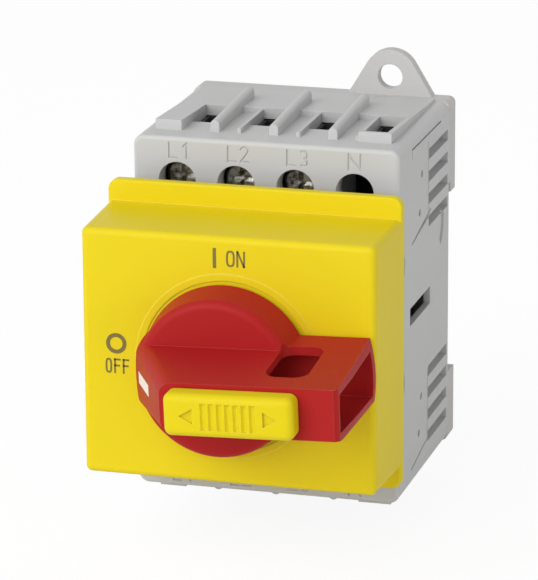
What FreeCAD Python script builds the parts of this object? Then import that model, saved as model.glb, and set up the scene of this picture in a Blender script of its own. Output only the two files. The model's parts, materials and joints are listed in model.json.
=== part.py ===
import FreeCAD, Part
import math
import os
import Sketcher
from FreeCAD import Placement, Rotation, Vector

# Rotary isolator switch for a 35 mm rail, three poles and an empty neutral bay.
# Frame: +X to the right and +Z up as seen from the front, which faces -Y.
# Origin: on the shaft axis, in the plane where the rail's flanges bear.

document = FreeCAD.newDocument("rotary_isolator")
sheet = document.addObject("Spreadsheet::Sheet", "sizes")

# alias, value in millimetres (or degrees), what it is
driving_sizes = [
    ("side_margin", 2.8, "from the outer pole bay to the outside of the side wall"),
    ("housing_height", 67.4, "outer height of the grey housing at its front band"),
    ("housing_depth", 38.3, "from the rail plane to the terminal face"),
    ("housing_rise", 1.2, "middle of the housing above the shaft axis"),
    ("side_wall", 2.6, "side wall"),
    ("front_wall", 4.0, "wall behind the terminal face"),
    ("end_wall", 3.0, "top and bottom wall"),
    ("edge_round", 2.0, "rounding of the housing's long edges"),
    ("face_round", 0.8, "rounding round the terminal face"),
    ("pole_pitch", 11.2, "distance between pole centres"),
    ("terminal_reach", 25.45, "terminal screw axis from the middle of the housing"),
    ("bore_radius", 3.55, "screwdriver bore"),
    ("band_depth", 5.0, "flat band in front of the raised end plate"),
    ("plate_rise", 1.9, "end plate above the band at its front"),
    ("plate_fall", 1.5, "how much the end plate drops towards the rear"),
    ("entry_front", 12.0, "front edge of the wire entry, from the terminal face"),
    ("entry_rear", 20.6, "rear edge of the wire entry, from the terminal face"),
    ("entry_skin", 2.8, "from the end plate's front height down to the relief behind a wire entry"),
    ("entry_relief", 3.2, "depth of the relief behind a wire entry"),
    ("cheek_thick", 0.6, "side of a liner beside its wire entry"),
    ("entry_left", 0.6, "wire entry to the left of the pole centre"),
    ("entry_margin", 1.0, "from a wire entry's right edge to the middle between two poles"),
    ("rib_width", 1.75, "phase rib"),
    ("rib_round", 0.8, "rounding of a rib's crest"),
    ("rib_front", 5.5, "front of the phase rib, from the terminal face"),
    ("rib_rear", 28.8, "rear of the phase rib, from the terminal face"),
    ("rib_rise", 2.1, "front of the phase rib above the band"),
    ("rib_rise_rear", 3.1, "rear of the phase rib above the band"),
    ("ledge_width", 0.7, "ledge between the rib and the wire entry"),
    ("ledge_rise", 0.9, "ledge above the band"),
    ("ledge_rear", 23.0, "rear of the ledge, from the terminal face"),
    ("lip_thick", 1.0, "lip in front of the last wire entry"),
    ("partition", 1.2, "partition between two poles"),
    ("partition_start", 18.0, "inner edge of a partition from the middle of the housing"),
    ("louvre_length", 15.1, "louvre recess along the depth"),
    ("louvre_height", 2.1, "louvre recess height"),
    ("louvre_pitch", 4.3, "distance between louvres"),
    ("louvre_first", 14.7, "first louvre from the middle of the housing"),
    ("louvre_depth", 1.8, "louvre recess depth"),
    ("louvre_rear", 0.9, "rear end of the louvres, from the rail plane"),
    ("coupling_length", 15.5, "side coupling slot along the depth"),
    ("coupling_height", 3.4, "side coupling slot height"),
    ("coupling_rear", 14.6, "rear end of the coupling slot, from the rail plane"),
    ("coupling_wall", 1.3, "thin wall round the coupling slot"),
    ("seam_width", 0.4, "width of a parting line groove"),
    ("seam_depth", 0.5, "depth of a parting line groove"),
    ("letter_height", 2.8, "height of the engraved pole marks"),
    ("letter_stroke", 0.32, "stroke width of the engraved marks"),
    ("letter_depth", 0.16, "depth of the engraved marks"),
    ("letter_gap", 0.75, "gap between a bore and its mark"),
    ("mark_left", 1.45, "left end of a pole mark from the pole centre"),
    ("mark_foot", 1.4, "foot of the letter L"),
    ("mark_figure", 2.4, "from the letter's stem to its figure"),
    ("seam_inner", 15.7, "inner end of the side seam from the middle of the housing"),
    ("seam_outer", 30.0, "outer end of the side seam from the middle of the housing"),
    ("seam_crest", 31.6, "seam along the side's edge, from the middle of the housing"),
    ("seam_crest_rear", 31.5, "rear end of that seam, from the terminal face"),
    ("seam_tip", 13.7, "front end of the slanted seam from the middle of the housing"),
    ("seam_front", 9.5, "front end of the seams, from the terminal face"),
    ("snap_radius", 0.75, "snap windows beside the seams"),
    ("snap_depth", 1.0, "depth of a snap window"),
    ("dimple_height", 11.2, "dimple at the face's edge, from the middle of the housing"),
    ("dimple_depth", 0.8, "depth of that dimple"),
    ("bow_back", 28.6, "centre of the bow mark, from the terminal face"),
    ("bow_height", 12.2, "centre of the bow mark from the middle of the housing"),
    ("bow_radius", 4.6, "radius of the bow mark"),
    ("bow_width", 2.5, "width of the bow mark"),
    ("lower_seam_inner", 14.3, "upper end of the lower side seam from the middle of the housing"),
    ("lower_seam_outer", 27.9, "lower end of that seam from the middle of the housing"),
    ("lower_seam_tip", 30.1, "front end of its slanted part from the middle of the housing"),
    ("seam_flare", 2.0, "how far the slanted upper seam widens behind the louvres' front"),
    ("pad_depth", 5.0, "rear pads behind the rail plane"),
    ("pad_corner", 1.2, "corner rounding of the rear pads"),
    ("rail_width", 35.0, "width of the rail"),
    ("rail_catch", 1.7, "how far the fixed hook reaches over the rail"),
    ("rail_play", 0.3, "play of the rail in the hooks"),
    ("rail_slot", 1.4, "slot that takes the rail's flange"),
    ("mouth_play", 0.6, "how much the clear height of the rail recess exceeds the rail"),
    ("seat_relief", 0.2, "relief of the rail seat under the hook and the clip's nose"),
    ("base_plate", 3.0, "base plate between the side walls"),
    ("seat_height", 3.0, "contact seats on the base plate"),
    ("lug_offset", 13.0, "fixing hole to the side of the middle"),
    ("lug_rise", 3.55, "fixing hole beyond the end of the housing"),
    ("lug_radius", 5.2, "rounding of the fixing lug"),
    ("lug_half_width", 8.8, "half the width of the lug at its root"),
    ("lug_thick", 2.3, "fixing lug thickness"),
    ("lug_hole", 2.4, "radius of the fixing hole"),
    ("lug_relief", 3.7, "radius of the relief for a screw head"),
    ("clearance", 0.2, "general clearance between moulded parts"),
    ("slip", 0.06, "radial running clearance"),
    ("cover_width", 55.2, "width of the cover at its flange"),
    ("cover_height", 55.0, "height of the cover flange"),
    ("cover_rise", 0.9, "middle of the cover above the shaft axis"),
    ("flange_thick", 1.8, "cover flange thickness"),
    ("flange_front", 7.9, "front of the flange ahead of the terminal face"),
    ("flange_corner", 2.0, "corner rounding of the flange"),
    ("block_height", 47.0, "height of the cover block at its root"),
    ("block_reach", 17.3, "front of the cover block ahead of the flange"),
    ("block_draft", 0.45, "how much each side of the block leans in"),
    ("block_edge", 1.2, "rounding of the block's front edges"),
    ("cover_wall", 2.0, "wall of the cover"),
    ("skirt_width", 48.8, "width of the skirt behind the flange"),
    ("skirt_height", 43.6, "height of the skirt behind the flange"),
    ("ring_outer", 17.2, "outer radius of the shallow ring round the knob"),
    ("ring_inner", 15.9, "inner radius of the shallow ring round the knob"),
    ("ring_rise", 0.12, "height of the shallow ring"),
    ("bridge_thick", 4.0, "front plate of the stand-off frame"),
    ("frame_play", 0.25, "play of the stand-off frame in the cover"),
    ("post_radius", 3.2, "posts of the stand-off frame"),
    ("post_offset_x", 17.5, "posts from the middle"),
    ("post_offset_z", 9.5, "posts from the middle of the housing"),
    ("long_screw", 1.45, "shank radius of the frame screws"),
    ("long_head", 2.6, "head radius of the frame screws"),
    ("seal_bead", 0.8, "radius of the shaft seal's bead"),
    ("shaft_side", 6.0, "square shaft across its flats"),
    ("sleeve_wall", 0.76, "sleeve outside the corners of the square shaft"),
    ("hub_radius", 5.9, "knob hub in the cover"),
    ("hub_hole", 6.3, "hole in the cover for the hub"),
    ("knob_gap", 0.8, "gap between the knob and the cover"),
    ("disc_rear", 15.4, "disc radius at the cover"),
    ("disc_front", 14.4, "disc radius at its face"),
    ("disc_thick", 7.7, "disc thickness"),
    ("disc_edge", 1.6, "rounding of the disc's front edge"),
    ("bar_reach", 24.0, "front of the bar ahead of the disc's rear"),
    ("bar_end", 27.5, "right end of the bar from the axis"),
    ("end_draft", 0.5, "how much the bar's right end leans in towards its front"),
    ("bar_nose", 15.3, "left end of the bar from the axis"),
    ("bar_nose_depth", 5.0, "straight part of the nose, from the disc's rear"),
    ("bar_face_left", 5.0, "left end of the bar's front face from the axis"),
    ("bar_rear_half", 6.8, "half height of the bar at its rear"),
    ("bar_front_half", 4.65, "half height of the bar at its front"),
    ("bar_under_half", 4.9, "underside of the bar's right end below the axis"),
    ("under_round", 1.8, "rounding where that underside meets the disc"),
    ("bar_wall", 1.2, "front wall of the bar"),
    ("bar_back", 1.6, "rear wall of the bar"),
    ("bar_bevel", 0.8, "bevel at the right end of the bar's face"),
    ("hollow_rear_top", 4.9, "top of the hollow above the axis at its rear"),
    ("hollow_front_half", 3.5, "half height of the hollow at its front"),
    ("hollow_start", 5.6, "left end of the hollow from the axis"),
    ("shackle_left", 12.4, "padlock hole, left edge from the axis"),
    ("shackle_right", 20.2, "padlock hole, right edge from the axis"),
    ("shackle_rear", 5.1, "padlock hole, rear edge from the disc's rear"),
    ("shackle_front", 19.3, "padlock hole, front edge from the disc's rear"),
    ("shackle_corner", 2.6, "padlock hole, corner rounding"),
    ("rest_tilt", 2.0, "play by which the knob rests past the level at OFF"),
    ("turn_range", 92.0, "turn of the knob from OFF to ON"),
    ("mark_half", 1.1, "half height of the white pointer"),
    ("mark_depth", 0.6, "depth of the white pointer's seat"),
    ("slider_left", 3.3, "left end of the lock slide, from the axis"),
    ("slider_length", 23.3, "length of the lock slide"),
    ("slider_half", 3.85, "half height of the lock slide"),
    ("slider_thick", 3.8, "how far the lock slide stands out"),
    ("slider_round", 1.4, "rounding of the lock slide"),
    ("arrow_radius", 1.6, "corners of an arrow on the slide from its centre"),
    ("arrow_depth", 0.45, "depth of the arrows"),
    ("arrow_left", 1.3, "centre of the left arrow from the axis"),
    ("arrow_right", 15.5, "centre of the right arrow from the axis"),
    ("slider_travel", 5.5, "travel of the lock slide"),
    ("slider_play", 0.2, "play of the lock slide on the bar"),
    ("grip_pitch", 1.47, "pitch of the grip grooves"),
    ("grip_half", 2.4, "half length of a grip groove"),
    ("grip_radius", 0.5, "radius of a grip groove"),
    ("neck_left", 9.5, "left side of the slide's neck from the axis"),
    ("neck_length", 4.0, "length of the slide's neck"),
    ("neck_half", 1.3, "half height of the slide's neck"),
    ("catch_thick", 1.5, "catch plate behind the bar's face"),
    ("catch_left", 6.4, "left end of the catch from the axis"),
    ("tongue_length", 2.2, "width of the locking tongue"),
    ("tongue_reach", 13.0, "how far the locking tongue reaches to the rear"),
    ("knob_screw_radius", 1.5, "knob screw shank"),
    ("knob_head_radius", 2.3, "knob screw head"),
    ("knob_head_thick", 1.8, "knob screw head thickness"),
    ("shaft_start", 17.0, "front end of the shaft ahead of the disc's rear"),
    ("block_depth", 10.0, "depth of the mechanism block"),
    ("block_half_height", 12.7, "half height of the mechanism block"),
    ("drum_radius", 7.0, "radius of the cam drum"),
    ("drum_length", 9.4, "length of the cam drum"),
    ("drum_play", 0.3, "play round the cam drum"),
    ("cam_travel", 4.0, "travel of the contact carrier from OFF to ON"),
    ("cam_start", 7.0, "follower pin behind the terminal face at OFF"),
    ("cam_pin", 1.0, "radius of the follower pins"),
    ("cam_pin_length", 1.9, "how far the follower pins reach into the drum"),
    ("cam_groove", 2.75, "width of the cam groove along the shaft"),
    ("cam_depth", 2.2, "depth of the cam groove"),
    ("cam_margin", 17.0, "extra turn of the cam groove at either end"),
    ("leaf_half", 6.9, "half length of a detent leaf spring"),
    ("leaf_room", 5.5, "half length of the room a leaf spring flexes in"),
    ("leaf_gap", 0.6, "gap between the drum and a leaf spring"),
    ("leaf_ridge", 0.5, "radius of a leaf spring's ridge"),
    ("stirrup_thick", 1.2, "stirrup behind a contact bridge"),
    ("stirrup_half", 1.5, "half height of the stirrups and fingers"),
    ("arm_thick", 2.2, "arms of the contact carrier"),
    ("arm_half", 2.5, "half height of the arms"),
    ("carrier_thick", 4.0, "contact carrier plate"),
    ("carrier_half", 6.0, "half height of the carrier plate"),
    ("carrier_front", 16.7, "front of the carrier plate behind the terminal face"),
    ("guide_radius", 1.5, "guide pins of the carrier"),
    ("finger_thick", 1.2, "fingers that hold the contact bridges"),
    ("bridge_half_width", 2.25, "half width of a contact bridge"),
    ("bridge_half_length", 12.6, "half length of a contact bridge"),
    ("strip", 1.2, "thickness of bridges and contact strips"),
    ("pad_radius", 2.0, "contact button"),
    ("pad_thick", 0.8, "contact button thickness"),
    ("pad_reach", 10.5, "contact button from the shaft axis"),
    ("contact_gap_on", 0.1, "gap left between the buttons at ON"),
    ("strip_play", 0.7, "side play of a contact strip in its clamp"),
    ("contact_inner", 7.6, "inner end of a contact strip from the shaft axis"),
    ("riser_reach", 16.5, "rising leg of a contact strip from the shaft axis"),
    ("contact_overlap", 3.5, "contact strip past the terminal screw"),
    ("clamp_play", 0.7, "side play of a terminal clamp in its bay"),
    ("clamp_half_height", 4.0, "half height of a terminal clamp"),
    ("clamp_front", 7.3, "front of a terminal clamp behind the terminal face"),
    ("clamp_depth", 12.2, "depth of a terminal clamp"),
    ("clamp_wall", 1.1, "side wall of a terminal clamp"),
    ("clamp_head_wall", 1.6, "threaded wall of a terminal clamp"),
    ("screw_head", 3.1, "terminal screw head radius"),
    ("screw_head_thick", 3.0, "terminal screw head thickness"),
    ("screw_shank", 1.9, "terminal screw shank radius"),
    ("screw_length", 5.0, "terminal screw shank length"),
    ("cross_width", 0.9, "arm of the cross recess"),
    ("cross_span", 4.2, "span of the cross recess"),
    ("cross_depth", 1.4, "depth of the cross recess"),
    ("body_screw", 1.0, "housing screw shank radius"),
    ("body_screw_head", 1.8, "housing screw head radius"),
    ("body_screw_margin", 2.0, "housing screws from the inside of the side wall"),
    ("body_screw_z", 9.5, "housing screws from the shaft axis"),
    ("coil_wire", 0.25, "wire radius of the springs"),
    ("contact_coil", 1.5, "mean radius of the contact springs"),
    ("clip_half", 4.8, "half width of the rail clip"),
    ("clip_ear", 1.2, "ears that keep the rail clip in its track"),
    ("clip_foot", 3.6, "rail clip below the rear pad"),
    ("clip_nose", 3.8, "rail clip's nose above the pad's edge"),
    ("clip_travel", 4.0, "travel of the rail clip"),
    ("window_half", 1.9, "half width of the clip's spring window"),
    ("clip_coil", 1.1, "mean radius of the clip spring"),
    ("clip_ear_thick", 1.4, "thickness of the rail clip's ears"),
    ("clip_post", 11.2, "spring seat on the base, from the pad's edge"),
    ("clip_post_thick", 2.0, "thickness of that seat"),
    ("clip_spring", 9.3, "length of the clip spring"),
    ("leaf_thick", 0.4, "detent leaf spring"),
]


class Size:
    """A length with its value and the sheet formula that gives it."""

    def __init__(self, value, formula):
        self.value = float(value)
        self.formula = formula

    def combine(self, other, sign, result, swapped=False):
        first, second = (formula_of(other), self.formula) if swapped else (self.formula, formula_of(other))
        return Size(result, "(" + first + " " + sign + " " + second + ")")

    def __add__(self, other):
        return self.combine(other, "+", self.value + value_of(other))

    def __radd__(self, other):
        return self.combine(other, "+", value_of(other) + self.value, True)

    def __sub__(self, other):
        return self.combine(other, "-", self.value - value_of(other))

    def __rsub__(self, other):
        return self.combine(other, "-", value_of(other) - self.value, True)

    def __mul__(self, other):
        return self.combine(other, "*", self.value * value_of(other))

    def __rmul__(self, other):
        return self.combine(other, "*", value_of(other) * self.value, True)

    def __truediv__(self, other):
        return self.combine(other, "/", self.value / value_of(other))

    def __neg__(self):
        return Size(-self.value, "(0 - " + self.formula + ")")


def value_of(number):
    return number.value if isinstance(number, Size) else float(number)


def formula_of(number):
    return number.formula if isinstance(number, Size) else repr(float(number))


def fill_sheet():
    """Writes the driving sizes and returns them by name."""
    for row, (alias, value, note) in enumerate(driving_sizes, start=1):
        sheet.set("A%d" % row, alias)
        sheet.set("B%d" % row, str(value))
        sheet.set("C%d" % row, note)
        sheet.setAlias("B%d" % row, alias)
    document.recompute()
    return {alias: Size(sheet.get(alias), "sizes." + alias) for alias, value, note in driving_sizes}


size = fill_sheet()
sub_parts = []


# ---------------------------------------------------------------- building blocks

def bind(item, prop, amount):
    """Sets a property and ties it to the sheet where the amount comes from there."""
    setattr(item, prop, value_of(amount))
    if isinstance(amount, Size):
        item.setExpression(prop, amount.formula)


def place(item, corner, rotation=Rotation()):
    item.Placement = Placement(Vector(*[value_of(number) for number in corner]), rotation)
    for axis, number in zip("xyz", corner):
        if isinstance(number, Size):
            item.setExpression("Placement.Base." + axis, number.formula)
    return item


def block(name, x_span, y_span, z_span):
    """A box between two corners."""
    item = document.addObject("Part::Box", name)
    bind(item, "Length", x_span[1] - x_span[0])
    bind(item, "Width", y_span[1] - y_span[0])
    bind(item, "Height", z_span[1] - z_span[0])
    return place(item, (x_span[0], y_span[0], z_span[0]))


turn_to = {
    "x": Rotation(Vector(0, 1, 0), 90),
    "y": Rotation(Vector(1, 0, 0), -90),
    "z": Rotation(),
}


def rod(name, axis, radius, start, length):
    """A cylinder from a start point along a row axis."""
    item = document.addObject("Part::Cylinder", name)
    bind(item, "Radius", radius)
    bind(item, "Height", length)
    return place(item, start, turn_to[axis])


def join(name, pieces):
    if len(pieces) == 1:
        return pieces[0]
    item = document.addObject("Part::MultiFuse", name)
    item.Shapes = pieces
    return item


def cut(name, base, tools):
    item = document.addObject("Part::Cut", name)
    item.Base = base
    item.Tool = join(name + "_tools", tools)
    return item


def rounded(name, base, radius, wanted):
    """Rounds the edges of a finished shape that a test picks out."""
    document.recompute()
    item = document.addObject("Part::Fillet", name)
    item.Base = base
    amount = value_of(radius)
    numbers = [i for i, edge in enumerate(base.Shape.Edges, start=1) if wanted(edge)]
    item.Edges = [(number, amount, amount) for number in numbers]
    return item


def sub_part(item, label, tilt=False):
    """Names a finished piece and, on the knob's side, rests it at the OFF stop."""
    item.Label = label
    if tilt:
        item.Placement = Placement(Vector(), Rotation(Vector(0, -1, 0), size["rest_tilt"].value))
        item.setExpression("Placement.Rotation.Angle", size["rest_tilt"].formula)
    sub_parts.append(item)
    return item


def runs_along(edge, axis):
    direction = edge.Vertexes[-1].Point - edge.Vertexes[0].Point
    length = direction.Length
    return length > 1e-6 and abs(getattr(direction, axis)) > 0.999 * length


def edge_middle(edge):
    return edge.valueAt((edge.FirstParameter + edge.LastParameter) / 2)


def near(first, second):
    return abs(value_of(first) - value_of(second)) < 0.02


# ---------------------------------------------------------------- sketches

def new_body(name):
    return document.addObject("PartDesign::Body", name)


def new_sketch(body, name, plane, offset=0):
    sketch = body.newObject("Sketcher::SketchObject", name)
    origin = [feature for feature in body.Origin.OriginFeatures if feature.Role == plane][0]
    sketch.AttachmentSupport = [(origin, "")]
    sketch.MapMode = "FlatFace"
    sketch.AttachmentOffset = Placement(Vector(0, 0, value_of(offset)), Rotation())
    if isinstance(offset, Size):
        sketch.setExpression("AttachmentOffset.Base.z", offset.formula)
    return sketch


def tie(sketch, constraint, amount):
    index = sketch.addConstraint(constraint)
    if isinstance(amount, Size):
        sketch.setExpression("Constraints[%d]" % index, amount.formula)


def pin_point(sketch, geometry, end, point):
    for kind, amount in zip(("DistanceX", "DistanceY"), point):
        tie(sketch, Sketcher.Constraint(kind, -1, 1, geometry, end, value_of(amount)), amount)


def outline(sketch, points):
    """A closed polygon with every corner tied to the sheet."""
    corners = [Vector(value_of(x), value_of(y), 0) for x, y in points]
    first = sketch.GeometryCount
    count = len(corners)
    for number, corner in enumerate(corners):
        sketch.addGeometry(Part.LineSegment(corner, corners[(number + 1) % count]), False)
    for number in range(count):
        after = first + (number + 1) % count
        sketch.addConstraint(Sketcher.Constraint("Coincident", first + number, 2, after, 1))
    for number, point in enumerate(points):
        pin_point(sketch, first + number, 1, point)


def pad(body, sketch, length, midplane=False, reverse=False):
    feature = body.newObject("PartDesign::Pad", sketch.Name + "_pad")
    feature.Profile = sketch
    feature.Midplane = midplane
    feature.Reversed = reverse
    bind(feature, "Length", length)
    return feature


def pocket(body, sketch, length, midplane=False, reverse=False):
    feature = body.newObject("PartDesign::Pocket", sketch.Name + "_pocket")
    feature.Profile = sketch
    feature.Midplane = midplane
    feature.Reversed = reverse
    bind(feature, "Length", length)
    return feature


def turned(body, sketch, axis):
    feature = body.newObject("PartDesign::Revolution", sketch.Name + "_turned")
    feature.Profile = sketch
    feature.ReferenceAxis = (sketch, [axis])
    feature.Angle = 360
    return feature


def soften(body, radius, wanted, kind="Fillet"):
    """Rounds or bevels picked edges of a body's last feature."""
    document.recompute()
    last = body.Tip
    names = ["Edge%d" % i for i, edge in enumerate(last.Shape.Edges, start=1) if wanted(edge)]
    feature = body.newObject("PartDesign::" + kind, body.Name + "_" + kind.lower())
    feature.Base = (last, names)
    bind(feature, "Radius" if kind == "Fillet" else "Size", radius)
    return feature


# ---------------------------------------------------------------- shared places

clearance = size["clearance"]
half_width = size["pole_pitch"] * 2 + size["side_margin"]
rise = size["housing_rise"]
band_top = rise + size["housing_height"] / 2
face = -size["housing_depth"]
inner_face = face + size["front_wall"]
inner_half = half_width - size["side_wall"]
bay_half = (size["pole_pitch"] - size["partition"]) / 2
clamp_half = bay_half - size["clamp_play"]
contact_half = clamp_half - size["clamp_wall"] - size["strip_play"]
entry_right = size["pole_pitch"] / 2 - size["entry_margin"]
body_screw_x = inner_half - size["body_screw_margin"]
lug_reach = size["housing_height"] / 2 + size["lug_rise"]
rail_mouth = size["rail_width"] + size["mouth_play"]
corner_ratio = 0.5 ** 0.5
sleeve_radius = size["shaft_side"] * corner_ratio + size["sleeve_wall"]
inner_half_height = size["housing_height"] / 2 - size["end_wall"]
plate_front = face + size["band_depth"]
terminals = [rise + size["terminal_reach"], rise - size["terminal_reach"]]
sides = [("line", 1, terminals[0]), ("load", -1, terminals[1])]
poles = [("l1", -1.5), ("l2", -0.5), ("l3", 0.5)]
cover_middle = size["cover_rise"]
flange_front = face - size["flange_front"]
cover_front = flange_front - size["block_reach"]
knob_rear = cover_front - size["knob_gap"]
disc_front = knob_rear - size["disc_thick"]
bar_front = knob_rear - size["bar_reach"]
frame_front = cover_front + size["cover_wall"] + clearance
frame_rear = frame_front + size["bridge_thick"]
mechanism_rear = inner_face + size["block_depth"]
seat_top = -size["base_plate"] - size["seat_height"]
strip_front = seat_top - size["strip"]
button_front = strip_front - size["pad_thick"]
moving_button = button_front - size["contact_gap_on"] - size["cam_travel"]
bridge_rear = moving_button - size["pad_thick"]
bridge_front = bridge_rear - size["strip"]
carrier_front = face + size["carrier_front"]
carrier_rear = carrier_front + size["carrier_thick"]
square_hole = size["shaft_side"] / 2 + size["slip"]
guide_foot = -size["base_plate"] + 0.8
pin_depth = face + size["cam_start"]
drum_front = inner_face + size["drum_play"]
shaft_front = knob_rear - size["shaft_start"]
screw_face = face + size["clamp_front"] - 0.1 - size["screw_head_thick"]
slider_rear = bar_front - size["slider_play"]
slider_front = bar_front - size["slider_play"] - size["slider_thick"]
hub_rear = cover_front + 1.5


def mirrored(z, side):
    """A height on the line side (+1) or the same place on the load side (-1)."""
    return rise + z if side > 0 else rise - z


def span(first, second):
    return (first, second) if value_of(first) < value_of(second) else (second, first)


def pole_centre(step):
    return size["pole_pitch"] * step


def end_span(low, high, side):
    """A height span above the housing's middle, or its mirror image below."""
    return span(mirrored(low, side), mirrored(high, side))


# ---------------------------------------------------------------- housing

def end_plate(side, name):
    """The raised end plate, a wedge that falls towards the rear."""
    half_height = size["housing_height"] / 2
    body = new_body(name + "_body")
    sketch = new_sketch(body, name, "YZ_Plane")
    top = half_height + size["plate_rise"]
    outline(sketch, [
        (plate_front, mirrored(half_height - 1, side)),
        (0, mirrored(half_height - 1, side)),
        (0, mirrored(top - size["plate_fall"], side)),
        (plate_front, mirrored(top, side)),
    ])
    pad(body, sketch, size["pole_pitch"] * 4, midplane=True)
    return body


def phase_ribs(side, name):
    """Rounded ribs between the poles, rising to the rear, and the low ledges beside them."""
    half_height = size["housing_height"] / 2
    front = face + size["rib_front"]
    rear = face + size["rib_rear"]
    root = mirrored(half_height - 1, side)
    pieces = []
    for number, step in enumerate((-1, 0, 1)):
        body = new_body("%s_rib_%d_body" % (name, number))
        sketch = new_sketch(body, "%s_rib_%d" % (name, number), "YZ_Plane", pole_centre(step))
        outline(sketch, [(front, root), (rear, root),
                         (rear, mirrored(half_height + size["rib_rise_rear"], side)),
                         (front, mirrored(half_height + size["rib_rise"], side))])
        pad(body, sketch, size["rib_width"], midplane=True)
        crest = (size["rib_rise"].value + size["rib_rise_rear"].value) / 2 + half_height.value
        middle_y = (front.value + rear.value) / 2
        soften(body, size["rib_round"],
               lambda edge: abs(edge_middle(edge).y - middle_y) < 0.1
               and abs(abs(edge_middle(edge).z - rise.value) - crest) < 0.1)
        pieces.append(body)
        right = pole_centre(step + 0.5) - size["entry_left"]
        pieces.append(block("%s_ledge_%d" % (name, number), (right - size["ledge_width"], right),
                            (front, face + size["ledge_rear"]),
                            end_span(half_height - 1, half_height + size["ledge_rise"], side)))
    return pieces


def wire_entries(side, name):
    """Recesses in the end plate and the wire entries through the end wall."""
    half_height = size["housing_height"] / 2
    tools = []
    beyond = half_height + size["plate_rise"] + 2
    for number in range(4):
        middle = pole_centre(number - 1.5)
        left = middle - size["entry_left"]
        right = middle + entry_right
        front = plate_front - 1 if number < 3 else plate_front + size["lip_thick"]
        tools.append(block("%s_recess_%d" % (name, number), (left, right),
                           (front, face + size["entry_rear"]), end_span(half_height, beyond, side)))
        tools.append(block("%s_entry_%d" % (name, number), (left, right),
                           (face + size["entry_front"], face + size["entry_rear"]),
                           end_span(inner_half_height - 1, beyond, side)))
        relief_top = half_height + size["plate_rise"] - size["entry_skin"]
        tools.append(block("%s_relief_%d" % (name, number), (left, right),
                           (face + size["entry_rear"] - 0.2, face + size["entry_rear"] + size["entry_relief"]),
                           end_span(inner_half_height - 1, relief_top, side)))
        if number:
            tools.append(block("%s_ledge_gap_%d" % (name, number),
                               (middle - size["pole_pitch"] + entry_right, left),
                               (plate_front - 1, face + size["entry_rear"]),
                               end_span(half_height, beyond, side)))
    return tools


def stroke(name, plane, start, end, face_at, depth):
    """A straight engraved stroke between two points of a face."""
    width = size["letter_stroke"].value if plane == "front" else size["seam_width"].value
    first = Vector(value_of(start[0]), value_of(start[1]), 0)
    run = Vector(value_of(end[0]), value_of(end[1]), 0) - first
    item = document.addObject("Part::Box", name)
    item.Length = run.Length + width
    item.Width = width
    item.Height = 2 * value_of(depth)
    angle = Rotation(Vector(1, 0, 0), run)
    local = angle.multVec(Vector(-width / 2, -width / 2, 0)) + first
    return place_on_face(item, plane, local, angle, face_at, depth)


def place_on_face(item, plane, local, angle, face_at, depth):
    """Lays a tool made in face coordinates onto the front or a side face."""
    if plane == "front":
        upright = Rotation(Vector(1, 0, 0), 90)
        origin = Vector(0, value_of(face_at) + value_of(depth), 0)
    else:
        upright = Rotation(Vector(0, 1, 0), Vector(0, 0, 1), Vector(1, 0, 0), "ZXY")
        origin = Vector(value_of(face_at) - value_of(depth), 0, 0)
    where = origin + upright.multVec(local)
    item.Placement = Placement(where, upright.multiply(angle))
    return item


def bow(name, plane, centre, radius, start, sweep, face_at, depth):
    """An engraved arc stroke, angles in degrees."""
    width = size["letter_stroke"].value if plane == "front" else size["bow_width"].value
    rings = []
    for label, reach in (("outer", radius + width / 2), ("inner", radius - width / 2)):
        item = document.addObject("Part::Cylinder", "%s_%s" % (name, label))
        item.Radius = reach
        item.Height = 2 * value_of(depth)
        item.Angle = sweep if label == "outer" else 360
        local = Vector(value_of(centre[0]), value_of(centre[1]), 0)
        place_on_face(item, plane, local, Rotation(Vector(0, 0, 1), start), face_at, depth)
        rings.append(item)
    return cut(name, rings[0], [rings[1]])


def pole_marks():
    """Engraved L1, L2, L3 above the bores, L1, L2, L3 below them, and N on the empty bay."""
    tools = []
    height = size["letter_height"].value
    depth = size["letter_depth"]
    for label, side, axis in sides:
        bore_edge = axis.value + side * (size["bore_radius"].value + size["letter_gap"].value)
        low = bore_edge if side > 0 else bore_edge - height
        for number in range(3):
            left = pole_centre(number - 1.5).value - size["mark_left"].value
            name = "%s_mark_%d" % (label, number)
            tools.append(stroke(name + "_stem", "front", (left, low), (left, low + height), face, depth))
            tools.append(stroke(name + "_foot", "front", (left, low),
                                (left + size["mark_foot"].value, low), face, depth))
            tools += digit(name, number + 1, left + size["mark_figure"].value, low, height, depth)
        half = size["mark_foot"].value * 0.8
        left = pole_centre(1.5).value - half
        right = pole_centre(1.5).value + half
        corners = [(left, low), (left, low + height), (right, low), (right, low + height)]
        for number in range(3):
            tools.append(stroke("%s_neutral_%d" % (label, number), "front",
                                corners[number], corners[number + 1], face, depth))
    return tools


def digit(name, number, left, low, height, depth):
    """The figures 1, 2 and 3 as strokes and arcs."""
    if number == 1:
        return [stroke(name + "_one", "front", (left + 0.9, low), (left + 0.9, low + height), face, depth),
                stroke(name + "_flag", "front", (left + 0.3, low + 0.8 * height),
                       (left + 0.9, low + height), face, depth)]
    bowl = height / 4
    if number == 2:
        middle = (left + bowl, low + height - bowl)
        return [bow(name + "_two", "front", middle, bowl, -35, 205, face, depth),
                stroke(name + "_slope", "front", (left, low),
                       (left + 1.8 * bowl, low + height - 1.55 * bowl), face, depth),
                stroke(name + "_base", "front", (left, low), (left + 2 * bowl, low), face, depth)]
    middle = left + bowl
    return [bow(name + "_three_top", "front", (middle, low + height - bowl), bowl, -90, 230, face, depth),
            bow(name + "_three_low", "front", (middle, low + bowl), bowl, -140, 230, face, depth)]


snap_places = {1: ((17.0, 25.2), (15.3, 18.2)), -1: ((17.0, 17.9), (15.3, 24.7))}
bow_start = -55
bow_sweep = 75


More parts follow.
